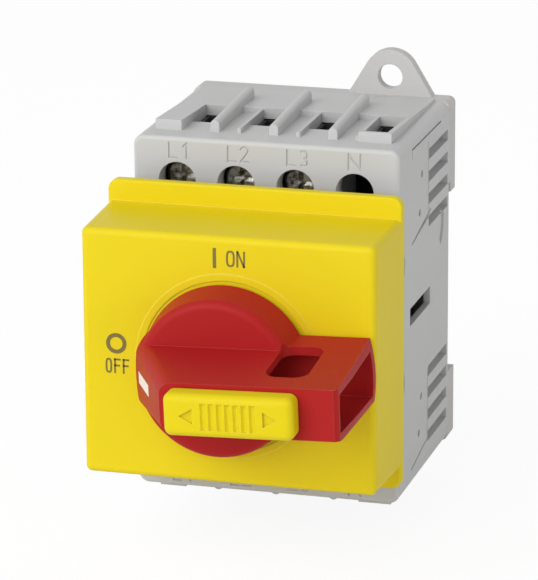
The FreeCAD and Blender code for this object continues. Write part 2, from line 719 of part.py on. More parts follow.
def side_details(direction, name):
    """Louvres, parting lines, snap windows and the coupling slot of one side wall."""
    tools = []
    outside = half_width if direction > 0 else -half_width
    wall = span(outside, outside - size["louvre_depth"] * direction)
    skin = (wall[0] - 1, wall[1]) if direction < 0 else (wall[0], wall[1] + 1)
    rear = -size["louvre_rear"]
    front = rear - size["louvre_length"]
    for side in (1, -1):
        for number in range(4):
            middle = size["louvre_first"] + size["louvre_pitch"] * number
            half = size["louvre_height"] / 2
            tools.append(block("%s_louvre_%d_%d" % (name, side + 1, number), skin, (front, rear),
                               end_span(middle - half, middle + half, side)))
        tools += side_seams(direction, side, "%s_seam_%d" % (name, side + 1), front)
        tools.append(side_dent("%s_dimple_%d" % (name, side + 1), direction, size["bore_radius"],
                               (face + size["dimple_depth"], mirrored(size["dimple_height"], side)),
                               size["dimple_depth"]))
    slot_rear = -size["coupling_rear"]
    slot_front = slot_rear - size["coupling_length"]
    half = size["coupling_height"] / 2
    through = span(outside + direction, outside - size["side_wall"] * direction * 2)
    tools.append(block(name + "_coupling", through, (slot_front, slot_rear), (rise - half, rise + half)))
    inner = outside - size["coupling_wall"] * direction
    tools.append(block(name + "_coupling_relief", span(inner, outside - size["side_wall"] * direction * 2),
                       (slot_front - 2, slot_rear + 2), (rise - half - 2, rise + half + 2)))
    return tools


def side_seams(direction, side, name, front):
    """Thin grooves where the shell's tongues meet, and the snap windows beside them."""
    outside = half_width if direction > 0 else -half_width
    line = front.value - size["seam_width"].value
    start = (face + size["seam_front"]).value
    if side > 0:
        ends = upper_seams(line, start)
    else:
        foot = mirrored(size["lower_seam_outer"], side).value
        ends = [
            ((line, mirrored(size["lower_seam_inner"], side).value), (line, foot)),
            ((line, foot), (start, mirrored(size["lower_seam_tip"], side).value)),
        ]
    depth = size["seam_depth"]
    tools = [stroke("%s_%d" % (name, number), "side", first, last, outside, depth)
             for number, (first, last) in enumerate(ends)]
    for number, (back, height) in enumerate(snap_places[side]):
        tools.append(side_dent("%s_snap_%d" % (name, number), direction, size["snap_radius"],
                               (face + back, mirrored(height, side)), size["snap_depth"]))
    if side > 0:
        centre = ((face + size["bow_back"]).value, mirrored(size["bow_height"], side).value)
        tools.append(bow(name + "_bow", "side", centre, size["bow_radius"].value,
                         bow_start, bow_sweep, outside, depth))
    return tools


def upper_seams(line, start):
    """Ends of the upper seam: beside the louvres, slanting to the front, and along the edge."""
    inner = mirrored(size["seam_inner"], 1).value
    outer = mirrored(size["seam_outer"], 1).value
    crest = mirrored(size["seam_crest"], 1).value
    tip = mirrored(size["seam_tip"], 1).value
    flare = size["seam_flare"].value
    return [
        ((line, outer), (line, inner)),
        ((line, inner), (start, tip)),
        ((line + flare, inner + flare / 2), (start, tip)),
        ((start, crest), ((face + size["seam_crest_rear"]).value, crest)),
        ((start, crest), (start, outer)),
    ]


def side_dent(name, direction, radius, place_at, depth):
    """A round dent in the right (+1) or left (-1) side wall."""
    start = half_width - depth if direction > 0 else -half_width - 1
    return rod(name, "x", radius, (start, place_at[0], place_at[1]), depth + 1)


def front_housing():
    """The grey shell that holds the terminals and the mechanism."""
    raw = new_body("shell_body")
    sketch = new_sketch(raw, "shell_outline", "XZ_Plane")
    low = rise - size["housing_height"] / 2
    outline(sketch, [(-half_width, low), (half_width, low), (half_width, band_top), (-half_width, band_top)])
    pad(raw, sketch, size["housing_depth"])
    soften(raw, size["edge_round"], lambda edge: runs_along(edge, "y"))
    soften(raw, size["face_round"], lambda edge: near(edge_middle(edge).y, face))
    solid = [raw]
    for side, name in ((1, "top"), (-1, "bottom")):
        solid.append(end_plate(side, name + "_plate"))
    outer = join("shell_blank", solid)
    cavity = block("shell_cavity", (-inner_half, inner_half), (inner_face, 1),
                   (rise - inner_half_height, rise + inner_half_height))
    tools = [cavity]
    ribs = []
    for side, name in ((1, "top"), (-1, "bottom")):
        tools += wire_entries(side, name)
        ribs += phase_ribs(side, name)
        for number, step in enumerate((-1, 0, 1)):
            middle = pole_centre(step)
            half = size["partition"] / 2
            ribs.append(block("%s_partition_%d" % (name, number), (middle - half, middle + half),
                              (inner_face - 1, -size["base_plate"] - clearance),
                              end_span(size["partition_start"], inner_half_height + 1, side)))
    hollow = cut("shell_hollow", outer, tools)
    ribbed = join("shell_ribbed", [hollow] + ribs)
    cuts = []
    for label, side, axis in sides:
        for number in range(4):
            cuts.append(rod("%s_bore_%d" % (label, number), "y", size["bore_radius"],
                            (pole_centre(number - 1.5), face - 1, axis), size["front_wall"] + 2))
    cuts += pole_marks()
    cuts += side_details(1, "right") + side_details(-1, "left")
    cuts += frame_screw_holes("shell", face - 1, size["front_wall"] + 2)
    cuts.append(rod("shell_shaft_hole", "y", sleeve_radius, (0, face - 1, 0), size["front_wall"] + 2))
    cuts.append(rod("shell_relief_top", "y", size["lug_relief"],
                    (size["lug_offset"], -1.6, rise + lug_reach), 3))
    cuts.append(rod("shell_relief_bottom", "y", size["lug_relief"],
                    (-size["lug_offset"], -1.6, rise - lug_reach), 3))
    sub_part(cut("front_housing_solid", ribbed, cuts), "front_housing")


def frame_screw_places():
    return [(sign_x, sign_z) for sign_x in (-1, 1) for sign_z in (-1, 1)]


def frame_screw_holes(name, start, length, radius=None):
    return [rod("%s_frame_hole_%d" % (name, number), "y", radius or size["long_screw"] + 0.15,
                (size["post_offset_x"] * sign_x, start, rise + size["post_offset_z"] * sign_z), length)
            for number, (sign_x, sign_z) in enumerate(frame_screw_places())]


def body_screw_rods(name, radius, start, length):
    return [rod("%s_%d" % (name, number), "y", radius,
                (body_screw_x * sign_x, start, size["body_screw_z"] * sign_z), length)
            for number, (sign_x, sign_z) in enumerate(frame_screw_places())]


def lug(name, side):
    """A rounded triangular fixing lug, pointing up on the right and down on the left."""
    body = new_body(name + "_body")
    sketch = new_sketch(body, name + "_outline", "XZ_Plane", -size["pad_depth"])
    middle = size["lug_offset"] * side
    centre_z = mirrored(lug_reach, side)
    root_z = mirrored(size["housing_height"] / 2 - 1, side)
    root = abs(root_z.value - centre_z.value)
    half = size["lug_half_width"].value
    radius = size["lug_radius"].value
    far = (half ** 2 + root ** 2) ** 0.5
    turn = math.acos(radius / far)
    base_angle = math.atan2(-root, half)
    touch = base_angle + turn
    contact_x = radius * math.cos(touch)
    contact_z = radius * math.sin(touch) * side
    left_root = Vector(middle.value - half, root_z.value, 0)
    right_root = Vector(middle.value + half, root_z.value, 0)
    left_touch = Vector(middle.value - contact_x, centre_z.value + contact_z, 0)
    right_touch = Vector(middle.value + contact_x, centre_z.value + contact_z, 0)
    crown = Vector(middle.value, centre_z.value + radius * side, 0)
    edges = [Part.LineSegment(left_root, right_root), Part.LineSegment(right_root, right_touch),
             Part.Arc(right_touch, crown, left_touch), Part.LineSegment(left_touch, left_root)]
    for edge in edges:
        sketch.addGeometry(edge, False)
    arc_low, arc_high = (1, 2) if side > 0 else (2, 1)
    sketch.addConstraint(Sketcher.Constraint("Coincident", 0, 2, 1, 1))
    sketch.addConstraint(Sketcher.Constraint("Coincident", 3, 2, 0, 1))
    sketch.addConstraint(Sketcher.Constraint("Tangent", 1, 2, 2, arc_low))
    sketch.addConstraint(Sketcher.Constraint("Tangent", 3, 1, 2, arc_high))
    pin_point(sketch, 0, 1, (middle - size["lug_half_width"], root_z))
    pin_point(sketch, 0, 2, (middle + size["lug_half_width"], root_z))
    pin_point(sketch, 2, 3, (middle, centre_z))
    tie(sketch, Sketcher.Constraint("Radius", 2, radius), size["lug_radius"])
    pad(body, sketch, size["lug_thick"])
    return body


def rear_base():
    """Base with the rail recess, the fixed hook, the clip track and the fixing lugs."""
    half_height = size["housing_height"] / 2
    edge_top = half_height
    fixed_edge = rise + size["rail_width"] / 2 - size["rail_catch"]
    clip_edge = fixed_edge - rail_mouth
    inside = inner_half - clearance
    plate = block("base_plate_block", (-inside, inside), (-size["base_plate"], 0),
                  (rise - inner_half_height + clearance, rise + inner_half_height - clearance))
    pads = []
    for name, z_span in (("top", (fixed_edge, rise + edge_top)), ("bottom", (rise - edge_top, clip_edge))):
        raw = block("base_pad_%s_block" % name, (-half_width, half_width), (0, size["pad_depth"]), z_span)
        outer = z_span[1] if name == "top" else z_span[0]
        pads.append(rounded("base_pad_" + name, raw, size["pad_corner"],
                            lambda edge: near(abs(edge_middle(edge).x), half_width) and
                            near(edge_middle(edge).z, outer) and runs_along(edge, "y")))
    seats = []
    for label, side in (("line", 1), ("load", -1)):
        low = size["contact_inner"] - 0.6
        z_span = span(low * side, size["riser_reach"] * side)
        seats.append(block("base_seat_" + label, even(inside), (seat_top, -size["base_plate"] + 1), z_span))
    blank = join("base_blank", [plate] + pads + seats + [lug("lug_top", 1), lug("lug_bottom", -1)])
    slot_top = rise + size["rail_width"] / 2 + size["rail_play"]
    tools = [
        block("base_rail_slot", (-half_width - 1, half_width + 1), (-size["seat_relief"], size["rail_slot"]),
              (fixed_edge - 1, slot_top)),
        block("base_nose_relief", even(size["clip_half"] + 2 * clearance), (-size["seat_relief"], 1),
              (clip_edge, clip_edge + size["clip_nose"] + clearance)),
        rod("base_hole_top", "y", size["lug_hole"],
            (size["lug_offset"], -1, rise + lug_reach), size["pad_depth"] + 2),
        rod("base_hole_bottom", "y", size["lug_hole"],
            (-size["lug_offset"], -1, rise - lug_reach), size["pad_depth"] + 2),
    ]
    for name, side in (("top", 1), ("bottom", -1)):
        tools.append(rod("base_relief_" + name, "y", size["lug_relief"],
                         (size["lug_offset"] * side, -4, rise + lug_reach * side),
                         size["pad_depth"] - size["lug_thick"] + 4))
    tools += clip_track(clip_edge, rise - edge_top)
    tools += body_screw_rods("base_screw_hole", size["body_screw"] + 0.1, -20, 25)
    tools += body_screw_rods("base_screw_head", size["body_screw_head"] + 0.2, -1.8, 3)
    tools += guide_rods("base_guide_hole", size["guide_radius"] + 0.02, guide_foot - 3, 3)
    post = block("base_clip_post", (-size["window_half"] + 0.3, size["window_half"] - 0.3),
                 (0.3, size["pad_depth"] - 0.8),
                 (clip_edge - size["clip_post"] - size["clip_post_thick"], clip_edge - size["clip_post"]))
    sub_part(join("rear_base_solid", [cut("base_cut", blank, tools), post]), "rear_base")
    return clip_edge, rise - edge_top


def clip_track(clip_edge, pad_low):
    """T-shaped track for the rail clip in the lower pad."""
    play = clearance
    half = size["clip_half"] + play
    ear = half + size["clip_ear"]
    middle = size["rail_slot"] + size["clip_ear_thick"]
    z_span = (pad_low - size["clip_travel"] - 1, clip_edge + 1)
    return [
        block("track_wide", (-ear, ear), (size["rail_slot"] - 0.4, middle + play), z_span),
        block("track_narrow", (-half, half), (middle - 1, size["pad_depth"] + 1), z_span),
    ]


def rail_clip(clip_edge, pad_low):
    """Sliding foot that snaps over the lower edge of the rail, and its spring."""
    front = size["rail_slot"] - 0.2
    middle = size["rail_slot"] + size["clip_ear_thick"]
    rear = size["pad_depth"] - 0.1
    ear = size["clip_half"] + size["clip_ear"]
    low = pad_low - size["clip_foot"]
    top = clip_edge + size["clip_nose"]
    pieces = [
        block("clip_wide", (-ear, ear), (front, middle), (pad_low + 0.5, clip_edge - 0.5)),
        block("clip_narrow", (-size["clip_half"], size["clip_half"]), (front, rear), (low, clip_edge)),
        block("clip_tip", (-size["clip_half"], size["clip_half"]), (front, front + 1.8), (clip_edge - 1, top)),
    ]
    window = block("clip_window", (-size["window_half"], size["window_half"]), (front - 1, rear + 1),
                   
                   (clip_edge - size["clip_post"] - size["clip_post_thick"] - 0.4,
                    clip_edge - size["clip_post"] + size["clip_spring"] + 0.1))
    slot = block("clip_driver_slot", even(size["window_half"]), (front - 1, rear + 1), (low + 1, low + 2.2))
    sub_part(cut("rail_clip_solid", join("clip_blank", pieces), [window, slot]), "rail_clip")
    coil("rail_clip_spring", "z", (0, (front.value + rear.value) / 2,
                                   (clip_edge - size["clip_post"]).value + 0.05),
         size["clip_spring"].value, size["clip_coil"].value, 6)


def coil(label, axis, start, length, radius, turns):
    """A round-wire compression spring, seated at both ends."""
    wire = size["coil_wire"].value
    rise_length = length - 2 * wire
    helix = Part.makeHelix(rise_length / turns, rise_length, radius)
    section = Part.Wire([Part.makeCircle(wire, Vector(radius, 0, 0), Vector(0, 1, 0))])
    shape = Part.Wire(helix.Edges).makePipeShell([section], True, True)
    item = document.addObject("Part::Feature", label + "_solid")
    item.Shape = shape
    rotation = {"z": Rotation(), "y": Rotation(Vector(1, 0, 0), -90)}[axis]
    shift = rotation.multVec(Vector(0, 0, wire))
    item.Placement = Placement(Vector(*start) + shift, rotation)
    return sub_part(item, label)


def wedge(name, y_span, first, second):
    """A block whose sides lean: first and second are the x and z spans at its two ends."""
    item = document.addObject("Part::Wedge", name)
    bind(item, "Ymin", y_span[0])
    bind(item, "Ymax", y_span[1])
    for prefix, spans in (("%s", first), ("%s2", second)):
        for letter, limits in zip("XZ", spans):
            bind(item, prefix % letter + "min", limits[0])
            bind(item, prefix % letter + "max", limits[1])
    return item


def even(half, middle=0):
    return (middle - half, middle + half)


def guide_rods(name, radius, start, length):
    return [rod("%s_%d" % (name, number), "y", radius, (size["pole_pitch"] * sign, start, 0), length)
            for number, sign in enumerate((-1, 1))]


# ---------------------------------------------------------------- cover and stand-off frame

def front_cover():
    """Yellow cover: a hollow drafted block, a flange and a skirt behind it."""
    half_x = size["cover_width"] / 2
    half_z = size["block_height"] / 2
    draft = size["block_draft"]
    raw = wedge("cover_block", (cover_front, flange_front + 0.5),
                (even(half_x - draft), even(half_z - draft, cover_middle)),
                (even(half_x), even(half_z, cover_middle)))
    soft = rounded("cover_block_soft", raw, size["block_edge"],
                   lambda edge: near(edge_middle(edge).y, cover_front) or
                   abs(edge_middle(edge).y - (cover_front.value + flange_front.value) / 2) < 1)
    flange_rear = flange_front + size["flange_thick"]
    plate = block("cover_flange_block", even(half_x), (flange_front, flange_rear),
                  even(size["cover_height"] / 2, cover_middle))
    flange = rounded("cover_flange", plate, size["flange_corner"], lambda edge: runs_along(edge, "y"))
    edged = rounded("cover_flange_soft", flange, 0.4,
                    lambda edge: near(edge_middle(edge).y, flange_front))
    skirt = block("cover_skirt", even(size["skirt_width"] / 2), (flange_rear - 1, face - 0.1),
                  even(size["skirt_height"] / 2, cover_middle))
    collar = rod("cover_ring", "y", size["ring_outer"], (0, cover_front - size["ring_rise"], 0),
                 size["ring_rise"] + 0.2)
    blank = join("cover_blank", [soft, edged, skirt, collar])
    wall = size["cover_wall"]
    front = cover_front + wall
    hollow = wedge("cover_hollow", (front, flange_front - 0.6),
                   (even(half_x - draft - wall), even(half_z - draft - wall, cover_middle)),
                   (even(half_x - wall), even(half_z - wall, cover_middle)))
    opening = block("cover_opening", even(size["skirt_width"] / 2 - wall), (flange_front - 1, face + 1),
                    even(size["skirt_height"] / 2 - wall, cover_middle))
    tools = [
        hollow,
        opening,
        rod("cover_hub_hole", "y", size["hub_hole"], (0, cover_front - 1, 0), wall + 2),
        rod("cover_ring_inside", "y", size["ring_inner"], (0, cover_front - 1, 0), 1),
    ]
    sub_part(cut("front_cover_solid", blank, tools), "front_cover")


def standoff_frame():
    """Dark frame that carries the cover and the shaft bush ahead of the housing."""
    inset = size["block_draft"] + size["cover_wall"] + size["frame_play"]
    half_x = size["cover_width"] / 2 - inset
    half_z = size["block_height"] / 2 - inset
    plate = block("frame_plate_block", even(half_x), (frame_front, frame_rear), even(half_z, cover_middle))
    soft = rounded("frame_plate", plate, 1.0, lambda edge: runs_along(edge, "y"))
    posts = frame_screw_holes("frame_post", frame_rear - 1, face - frame_rear + 1, size["post_radius"])
    ribs = [block("frame_rib_%d" % number, even(size["post_offset_x"]), (frame_rear - 0.5, frame_rear + 2),
                  even(0.8, rise + size["post_offset_z"] * sign)) for number, sign in enumerate((-1, 1))]
    tools = [
        rod("frame_bush_hole", "y", sleeve_radius + size["slip"], (0, frame_front - 1, 0),
            size["bridge_thick"] + 2),
        rod("frame_seal_seat", "y", sleeve_radius + 2, (0, frame_front - 1, 0), 2.9),
    ]
    tools += frame_screw_holes("frame_bore", frame_front - 1, face - frame_front + 2)
    tools += frame_screw_holes("frame_head", frame_front - 1, 3.3, size["long_head"] + 0.2)
    blank = join("frame_blank", [soft] + posts + ribs)
    sub_part(cut("standoff_frame_solid", blank, tools), "standoff_frame")


def frame_screws():
    """Four long screws that clamp the stand-off frame to the mechanism block."""
    head = frame_front + 0.1
    seat = frame_front + 2.3
    tip = inner_face + 4.3
    screws = []
    for number, (sign_x, sign_z) in enumerate(frame_screw_places()):
        x = size["post_offset_x"] * sign_x
        z = rise + size["post_offset_z"] * sign_z
        cap = rod("frame_cap_%d" % number, "y", size["long_head"], (x, head, z), seat - head)
        stem = rod("frame_stem_%d" % number, "y", size["long_screw"], (x, seat - 0.2, z), tip - seat + 0.2)
        solid = join("frame_screw_blank_%d" % number, [cap, stem])
        screws.append(cross_recess("frame_screw_%d" % number, solid, x, head, z, 0.8))
    sub_part(join("frame_screws_solid", screws), "frame_screws")


def cross_recess(name, solid, x, front, z, scale=1.0):
    """Cuts a cross recess into a screw head that faces the front."""
    half = size["cross_width"] * (scale / 2)
    reach = size["cross_span"] * (scale / 2)
    y_span = (front - 1, front + size["cross_depth"])
    return cut(name, solid, [block(name + "_level", even(reach, x), y_span, even(half, z)),
                             block(name + "_upright", even(half, x), y_span, even(reach, z))])


def shaft_parts():
    """Square shaft with its sleeve, seal and retaining washer."""
    half = size["shaft_side"] / 2
    shaft_rear = mechanism_rear - 0.9
    raw = block("shaft_block", even(half), (shaft_front, shaft_rear), even(half))
    soft = rounded("shaft_soft", raw, 0.4, lambda edge: runs_along(edge, "y"))
    thread = rod("shaft_thread", "y", size["knob_screw_radius"], (0, shaft_front - 1, 0), 9)
    sub_part(cut("drive_shaft_solid", soft, [thread]), "drive_shaft", tilt=True)
    sleeve_front = hub_rear + 0.1
    sleeve_length = frame_rear - sleeve_front + 0.4
    sleeve = rod("sleeve_blank", "y", sleeve_radius, (0, sleeve_front, 0), sleeve_length)
    sub_part(cut("shaft_sleeve_solid", sleeve, [square_tool("sleeve_square", sleeve_front)]),
             "shaft_sleeve", tilt=True)
    washer_front = frame_rear + 0.5
    washer = rod("washer_blank", "y", sleeve_radius + 1.4, (0, washer_front, 0), 0.8)
    sub_part(cut("shaft_washer_solid", washer, [square_tool("washer_square", washer_front)]),
             "shaft_washer", tilt=True)
    bead = document.addObject("Part::Torus", "shaft_seal_solid")
    bind(bead, "Radius1", sleeve_radius + size["seal_bead"] + 0.12)
    bind(bead, "Radius2", size["seal_bead"])
    place(bead, (0, frame_front + size["seal_bead"] + 0.15, 0), turn_to["y"])
    sub_part(bead, "shaft_seal")


def square_tool(name, start):
    return block(name, even(square_hole), (start - 1, start + 20), even(square_hole))


# ---------------------------------------------------------------- knob and padlock slide

def nose_point(share):
    """A point on the bar's slanted nose, from its rear (0) to its front (1)."""
    rear = knob_rear - size["bar_nose_depth"]
    x = (size["bar_nose"] - size["bar_face_left"]) * share - size["bar_nose"]
    return x, rear + (bar_front - rear) * share


def grip_bar():
    """The knob's bar, leaning in towards its front, with a slanted nose at the left."""
    body = new_body("bar_body")
    profile = new_sketch(body, "bar_profile", "XY_Plane")
    nose = size["bar_nose"]
    end_front = size["bar_end"] - size["end_draft"]
    outline(profile, [(-nose, knob_rear), nose_point(0), nose_point(1), (end_front, bar_front),
                      (size["bar_end"], knob_rear)])
    pad(body, profile, size["bar_rear_half"] * 2, midplane=True)
    for number, sign in enumerate((1, -1)):
        side = new_sketch(body, "bar_lean_%d" % number, "YZ_Plane")
        outline(side, [(bar_front - 1, size["bar_rear_half"] * sign * 2),
                       (bar_front - 1, (size["bar_front_half"] - 0.09) * sign),
                       (knob_rear, size["bar_rear_half"] * sign),
                       (knob_rear, size["bar_rear_half"] * sign * 2)])
        pocket(body, side, 200, midplane=True)
    middle = nose_point(0.5)
    soften(body, 2.4, lambda edge: abs(edge_middle(edge).x - middle[0].value) < 0.6
           and abs(edge_middle(edge).y - middle[1].value) < 0.6)
    soften(body, size["bar_bevel"], lambda edge: near(edge_middle(edge).x, end_front)
           and near(edge_middle(edge).y, bar_front), "Chamfer")
    return cut("grip_bar", body, [end_shell("nose", size["bar_nose"], -1), end_shell("end", size["bar_end"], 1),
                                  bar_underside()])


def end_shell(name, reach, side):
    """Trims one end of the bar to a cylinder round the shaft axis."""
    room = block(name + "_room", span(reach / 2 * side, reach * 2 * side), (bar_front - 2, knob_rear + 2),
                 even(reach))
    core = rod(name + "_core", "y", reach, (0, bar_front - 3, 0), knob_rear - bar_front + 6)
    return cut(name + "_shell", room, [core])


def bar_underside():
    """What is cut from below the bar to the right of the disc, where its underside doesn't lean."""
    start = size["disc_rear"]
    low = -size["bar_under_half"]
    room = block("underside_room", (start, size["bar_end"] + 1), (bar_front - 1, knob_rear + 1), (low * 2, low))
    return rounded("bar_underside", room, size["under_round"],
                   lambda edge: near(edge_middle(edge).x, start) and near(edge_middle(edge).z, low))


def knob():
    """Red knob: a disc with a hollow bar that takes a padlock."""
    disc = new_body("disc_body")
    profile = new_sketch(disc, "disc_profile", "XY_Plane")
    outline(profile, [(0, knob_rear), (size["disc_rear"], knob_rear), (size["disc_front"], disc_front),
                      (0, disc_front)])
    turned(disc, profile, "V_Axis")
    soften(disc, size["disc_edge"], lambda edge: near(edge_middle(edge).y, disc_front)
           and edge.Length > 20)
    hub = rod("knob_hub", "y", size["hub_radius"], (0, knob_rear - 1, 0), hub_rear - knob_rear + 1)
    blank = join("knob_blank", [disc, grip_bar(), hub])
    hollow_rear = knob_rear - size["bar_back"]
    hollow = wedge("knob_hollow", (bar_front + size["bar_wall"], hollow_rear),
                   ((size["hollow_start"], size["bar_end"] + 1), even(size["hollow_front_half"])),
                   ((size["hollow_start"], size["bar_end"] + 1),
                    (-size["hollow_front_half"], size["hollow_rear_top"])))
    eye = block("padlock_hole_block", (size["shackle_left"], size["shackle_right"]),
                (knob_rear - size["shackle_front"], knob_rear - size["shackle_rear"]), even(15))
    eye_soft = rounded("padlock_hole", eye, size["shackle_corner"], lambda edge: runs_along(edge, "z"))
    slot_left = size["neck_left"] - 0.3
    slot_right = slot_left + size["neck_length"] + size["slider_travel"] + 0.6
    slot = block("knob_slide_slot", (slot_left, slot_right),
                 (bar_front - 1, bar_front + size["bar_wall"] + 1), even(size["neck_half"] + 0.2))
    tools = [
        hollow,
        eye_soft,
        slot,
        block("knob_square", even(square_hole), (shaft_front - 0.2, hub_rear + 1), even(square_hole)),
        rod("knob_screw_hole", "y", size["knob_screw_radius"] + 0.2, (0, bar_front - 1, 0), 12),
        rod("knob_head_seat", "y", size["knob_head_radius"] + 0.2, (0, bar_front - 1, 0),
            size["knob_head_thick"] + 1.2),
        mark_body("pointer_seat"),
    ]
    sub_part(cut("knob_solid", blank, tools), "knob", tilt=True)


def mark_body(name):
    """The strip on the nose that the white pointer fills."""
    body = new_body(name + "_body")
    sketch = new_sketch(body, name + "_outline", "XY_Plane")
    low = nose_point(0.12)
    high = nose_point(0.54)
    shift = size["mark_depth"] * 1.14
    outline(sketch, [low, (low[0] + shift, low[1]), (high[0] + shift, high[1]), high])
    pad(body, sketch, size["mark_half"] * 2, midplane=True)
    return body


def pointer_mark():
    sub_part(mark_body("pointer_mark"), "pointer_mark", tilt=True)


def arrow(name, x, angle):
    """A triangle sunk into the slide's face, pointing right at 0 degrees."""
    item = document.addObject("Part::Prism", name)
    item.Polygon = 3
    bind(item, "Circumradius", size["arrow_radius"])
    item.Height = 2 * size["arrow_depth"].value
    turn = Rotation(Vector(0, 0, 1), angle)
    return place_on_face(item, "front", Vector(x.value, 0, 0), turn, slider_front, size["arrow_depth"])


def lock_slide():
    """Yellow slide on the bar's face that works the padlock tongue."""
    left = -size["slider_left"]
    right = left + size["slider_length"]
    raw = block("slide_block", (left, right), (slider_front, slider_rear), even(size["slider_half"]))
    soft = rounded("slide_soft", raw, size["slider_round"],
                   lambda edge: not near(edge_middle(edge).y, slider_rear))
    grooves = []
    for number in range(7):
        x = size["slider_left"] + size["grip_pitch"] * (number + 0.5)
        grooves.append(rod("grip_%d" % number, "z", size["grip_radius"],
                           (x, slider_front - 0.12, -size["grip_half"]), size["grip_half"] * 2))
    grooves.append(arrow("arrow_left", size["arrow_left"], 180))
    grooves.append(arrow("arrow_right", size["arrow_right"], 0))
    neck = block("slide_neck", (size["neck_left"], size["neck_left"] + size["neck_length"]),
                 (slider_rear - 1, bar_front + size["bar_wall"] + 0.2), even(size["neck_half"]))
    sub_part(join("lock_slide_solid", [cut("slide_cut", soft, grooves), neck]), "lock_slide", tilt=True)


def slide_catch():
    """Plate and tongue inside the bar, fixed to the slide's neck."""
    front = bar_front + size["bar_wall"] + 0.2
    rear = front + size["catch_thick"]
    plate = block("catch_plate", (size["catch_left"], size["catch_left"] + 11.1), (front, rear),
                  even(size["hollow_front_half"] - 0.4))
    tongue = block("catch_tongue", (size["catch_left"], size["catch_left"] + size["tongue_length"]),
                   (rear - 0.5, rear + size["tongue_reach"]), even(size["hollow_front_half"] - 0.7))
    soft = rounded("catch_tongue_soft", tongue, 0.6,
                   lambda edge: near(edge_middle(edge).y, rear + size["tongue_reach"]))
    sub_part(join("slide_catch_solid", [plate, soft]), "slide_catch", tilt=True)


def knob_screw():
    head = bar_front + 0.1
    stem_start = head + size["knob_head_thick"]
    cap = rod("knob_cap", "y", size["knob_head_radius"], (0, head, 0), size["knob_head_thick"])
    stem = rod("knob_stem", "y", size["knob_screw_radius"], (0, stem_start - 0.2, 0),
               shaft_front - stem_start + 6)
    blank = join("knob_screw_blank", [cap, stem])
    sub_part(cross_recess("knob_screw_solid", blank, 0, head, 0, 0.7), "knob_screw", tilt=True)


# ---------------------------------------------------------------- mechanism

def mechanism_block():
    """Black block behind the front wall: drum bore, arm windows and guide pin seats."""
    outside = inner_half - clearance
    body = block("mechanism_raw", even(outside), (inner_face, mechanism_rear),
                 even(size["block_half_height"], rise))
    bore = size["drum_radius"] + size["drum_play"]
    tools = [rod("drum_bore", "y", bore, (0, inner_face - 1, 0), size["block_depth"] + 2)]
    depth = (inner_face - 1, mechanism_rear + 1)
    window = size["drum_radius"] + size["drum_play"]
    for number, sign in enumerate((-1, 1)):
        x_span = span((window - 1) * sign, (window + size["arm_thick"] + 0.4) * sign)
        tools.append(block("arm_window_%d" % number, x_span, depth, even(size["arm_half"] + 0.5)))
        leaf_depth = (inner_face + 1, mechanism_rear + 1)
        leaf_near = size["drum_radius"] + size["leaf_gap"] - 0.05
        leaf_far = leaf_near + size["leaf_thick"] + 0.1
        tools.append(block("leaf_room_%d" % number, even(size["leaf_room"]), leaf_depth,
                           span(size["drum_radius"] * sign, (leaf_far + 1.35) * sign)))
        tools.append(block("leaf_slot_%d" % number, even(size["leaf_half"] + 0.1), leaf_depth,
                           span(leaf_near * sign, leaf_far * sign)))
    tools += guide_rods("block_guide", size["guide_radius"] + 0.02, mechanism_rear - 4, 6)
    tools += frame_screw_holes("block_frame", inner_face - 1, 6.3, size["long_screw"] + 0.02)
    tools += body_screw_rods("block_screw", size["body_screw"] + 0.02, mechanism_rear - 4.5, 6)
    sub_part(cut("mechanism_block_solid", body, tools), "mechanism_block")


def detent_springs():
    """Leaf springs above and below the drum, each with a pressed ridge."""
    leaves = []
    y_span = (inner_face + 1.4, mechanism_rear - 0.4)
    near_face = size["drum_radius"] + size["leaf_gap"]
    middle = near_face + size["leaf_thick"] / 2
    for number, sign in enumerate((-1, 1)):
        leaf = block("leaf_%d" % number, even(size["leaf_half"]), y_span,
                     span(near_face * sign, (near_face + size["leaf_thick"]) * sign))
        ridge = rod("leaf_ridge_%d" % number, "y", size["leaf_ridge"], (0, y_span[0], middle * sign),
                    y_span[1] - y_span[0])
        leaves.append(join("detent_leaf_%d" % number, [leaf, ridge]))
    sub_part(join("detent_springs_solid", leaves), "detent_springs")


def helix_groove(name, start_angle):
    """Groove that drives a follower pin to the rear as the drum turns."""
    inner = (size["drum_radius"] - size["cam_depth"]).value
    outer = size["drum_radius"].value + 0.6
    half = size["cam_groove"].value / 2
    lead = size["cam_travel"].value / size["turn_range"].value
    margin = size["cam_margin"].value
    sections = []
    steps = 18
    for step in range(steps + 1):
        turn = -margin + (size["turn_range"].value + 2 * margin) * step / steps
        axial = pin_depth.value + lead * min(max(turn, 0), size["turn_range"].value)
        spin = Rotation(Vector(0, 1, 0), start_angle - turn)
        corners = [Vector(inner, axial - half, 0), Vector(outer, axial - half, 0),
                   Vector(outer, axial + half, 0), Vector(inner, axial + half, 0)]
        points = [spin.multVec(corner) for corner in corners]
        sections.append(Part.makePolygon(points + points[:1]))
    item = document.addObject("Part::Feature", name)
    item.Shape = Part.makeLoft(sections, True, True)
    return item


def cam_drum():
    """Drum on the shaft with two helical grooves half a turn apart."""
    blank = rod("drum_blank", "y", size["drum_radius"], (0, drum_front, 0), size["drum_length"])
    tools = [block("drum_square", even(square_hole), (drum_front - 1, drum_front + size["drum_length"] + 1),
                   even(square_hole))]
    tools += [helix_groove("drum_groove_0", 0), helix_groove("drum_groove_1", 180)]
    reach = size["drum_radius"] + 0.35
    for number, (sign_x, sign_z) in enumerate(((0, 1), (0, -1), (1, 0), (-1, 0))):
        tools.append(rod("drum_notch_%d" % number, "y", 0.8,
                         (reach * sign_x, drum_front - 1, reach * sign_z), size["drum_length"] + 2))
    sub_part(cut("cam_drum_solid", blank, tools), "cam_drum", tilt=True)


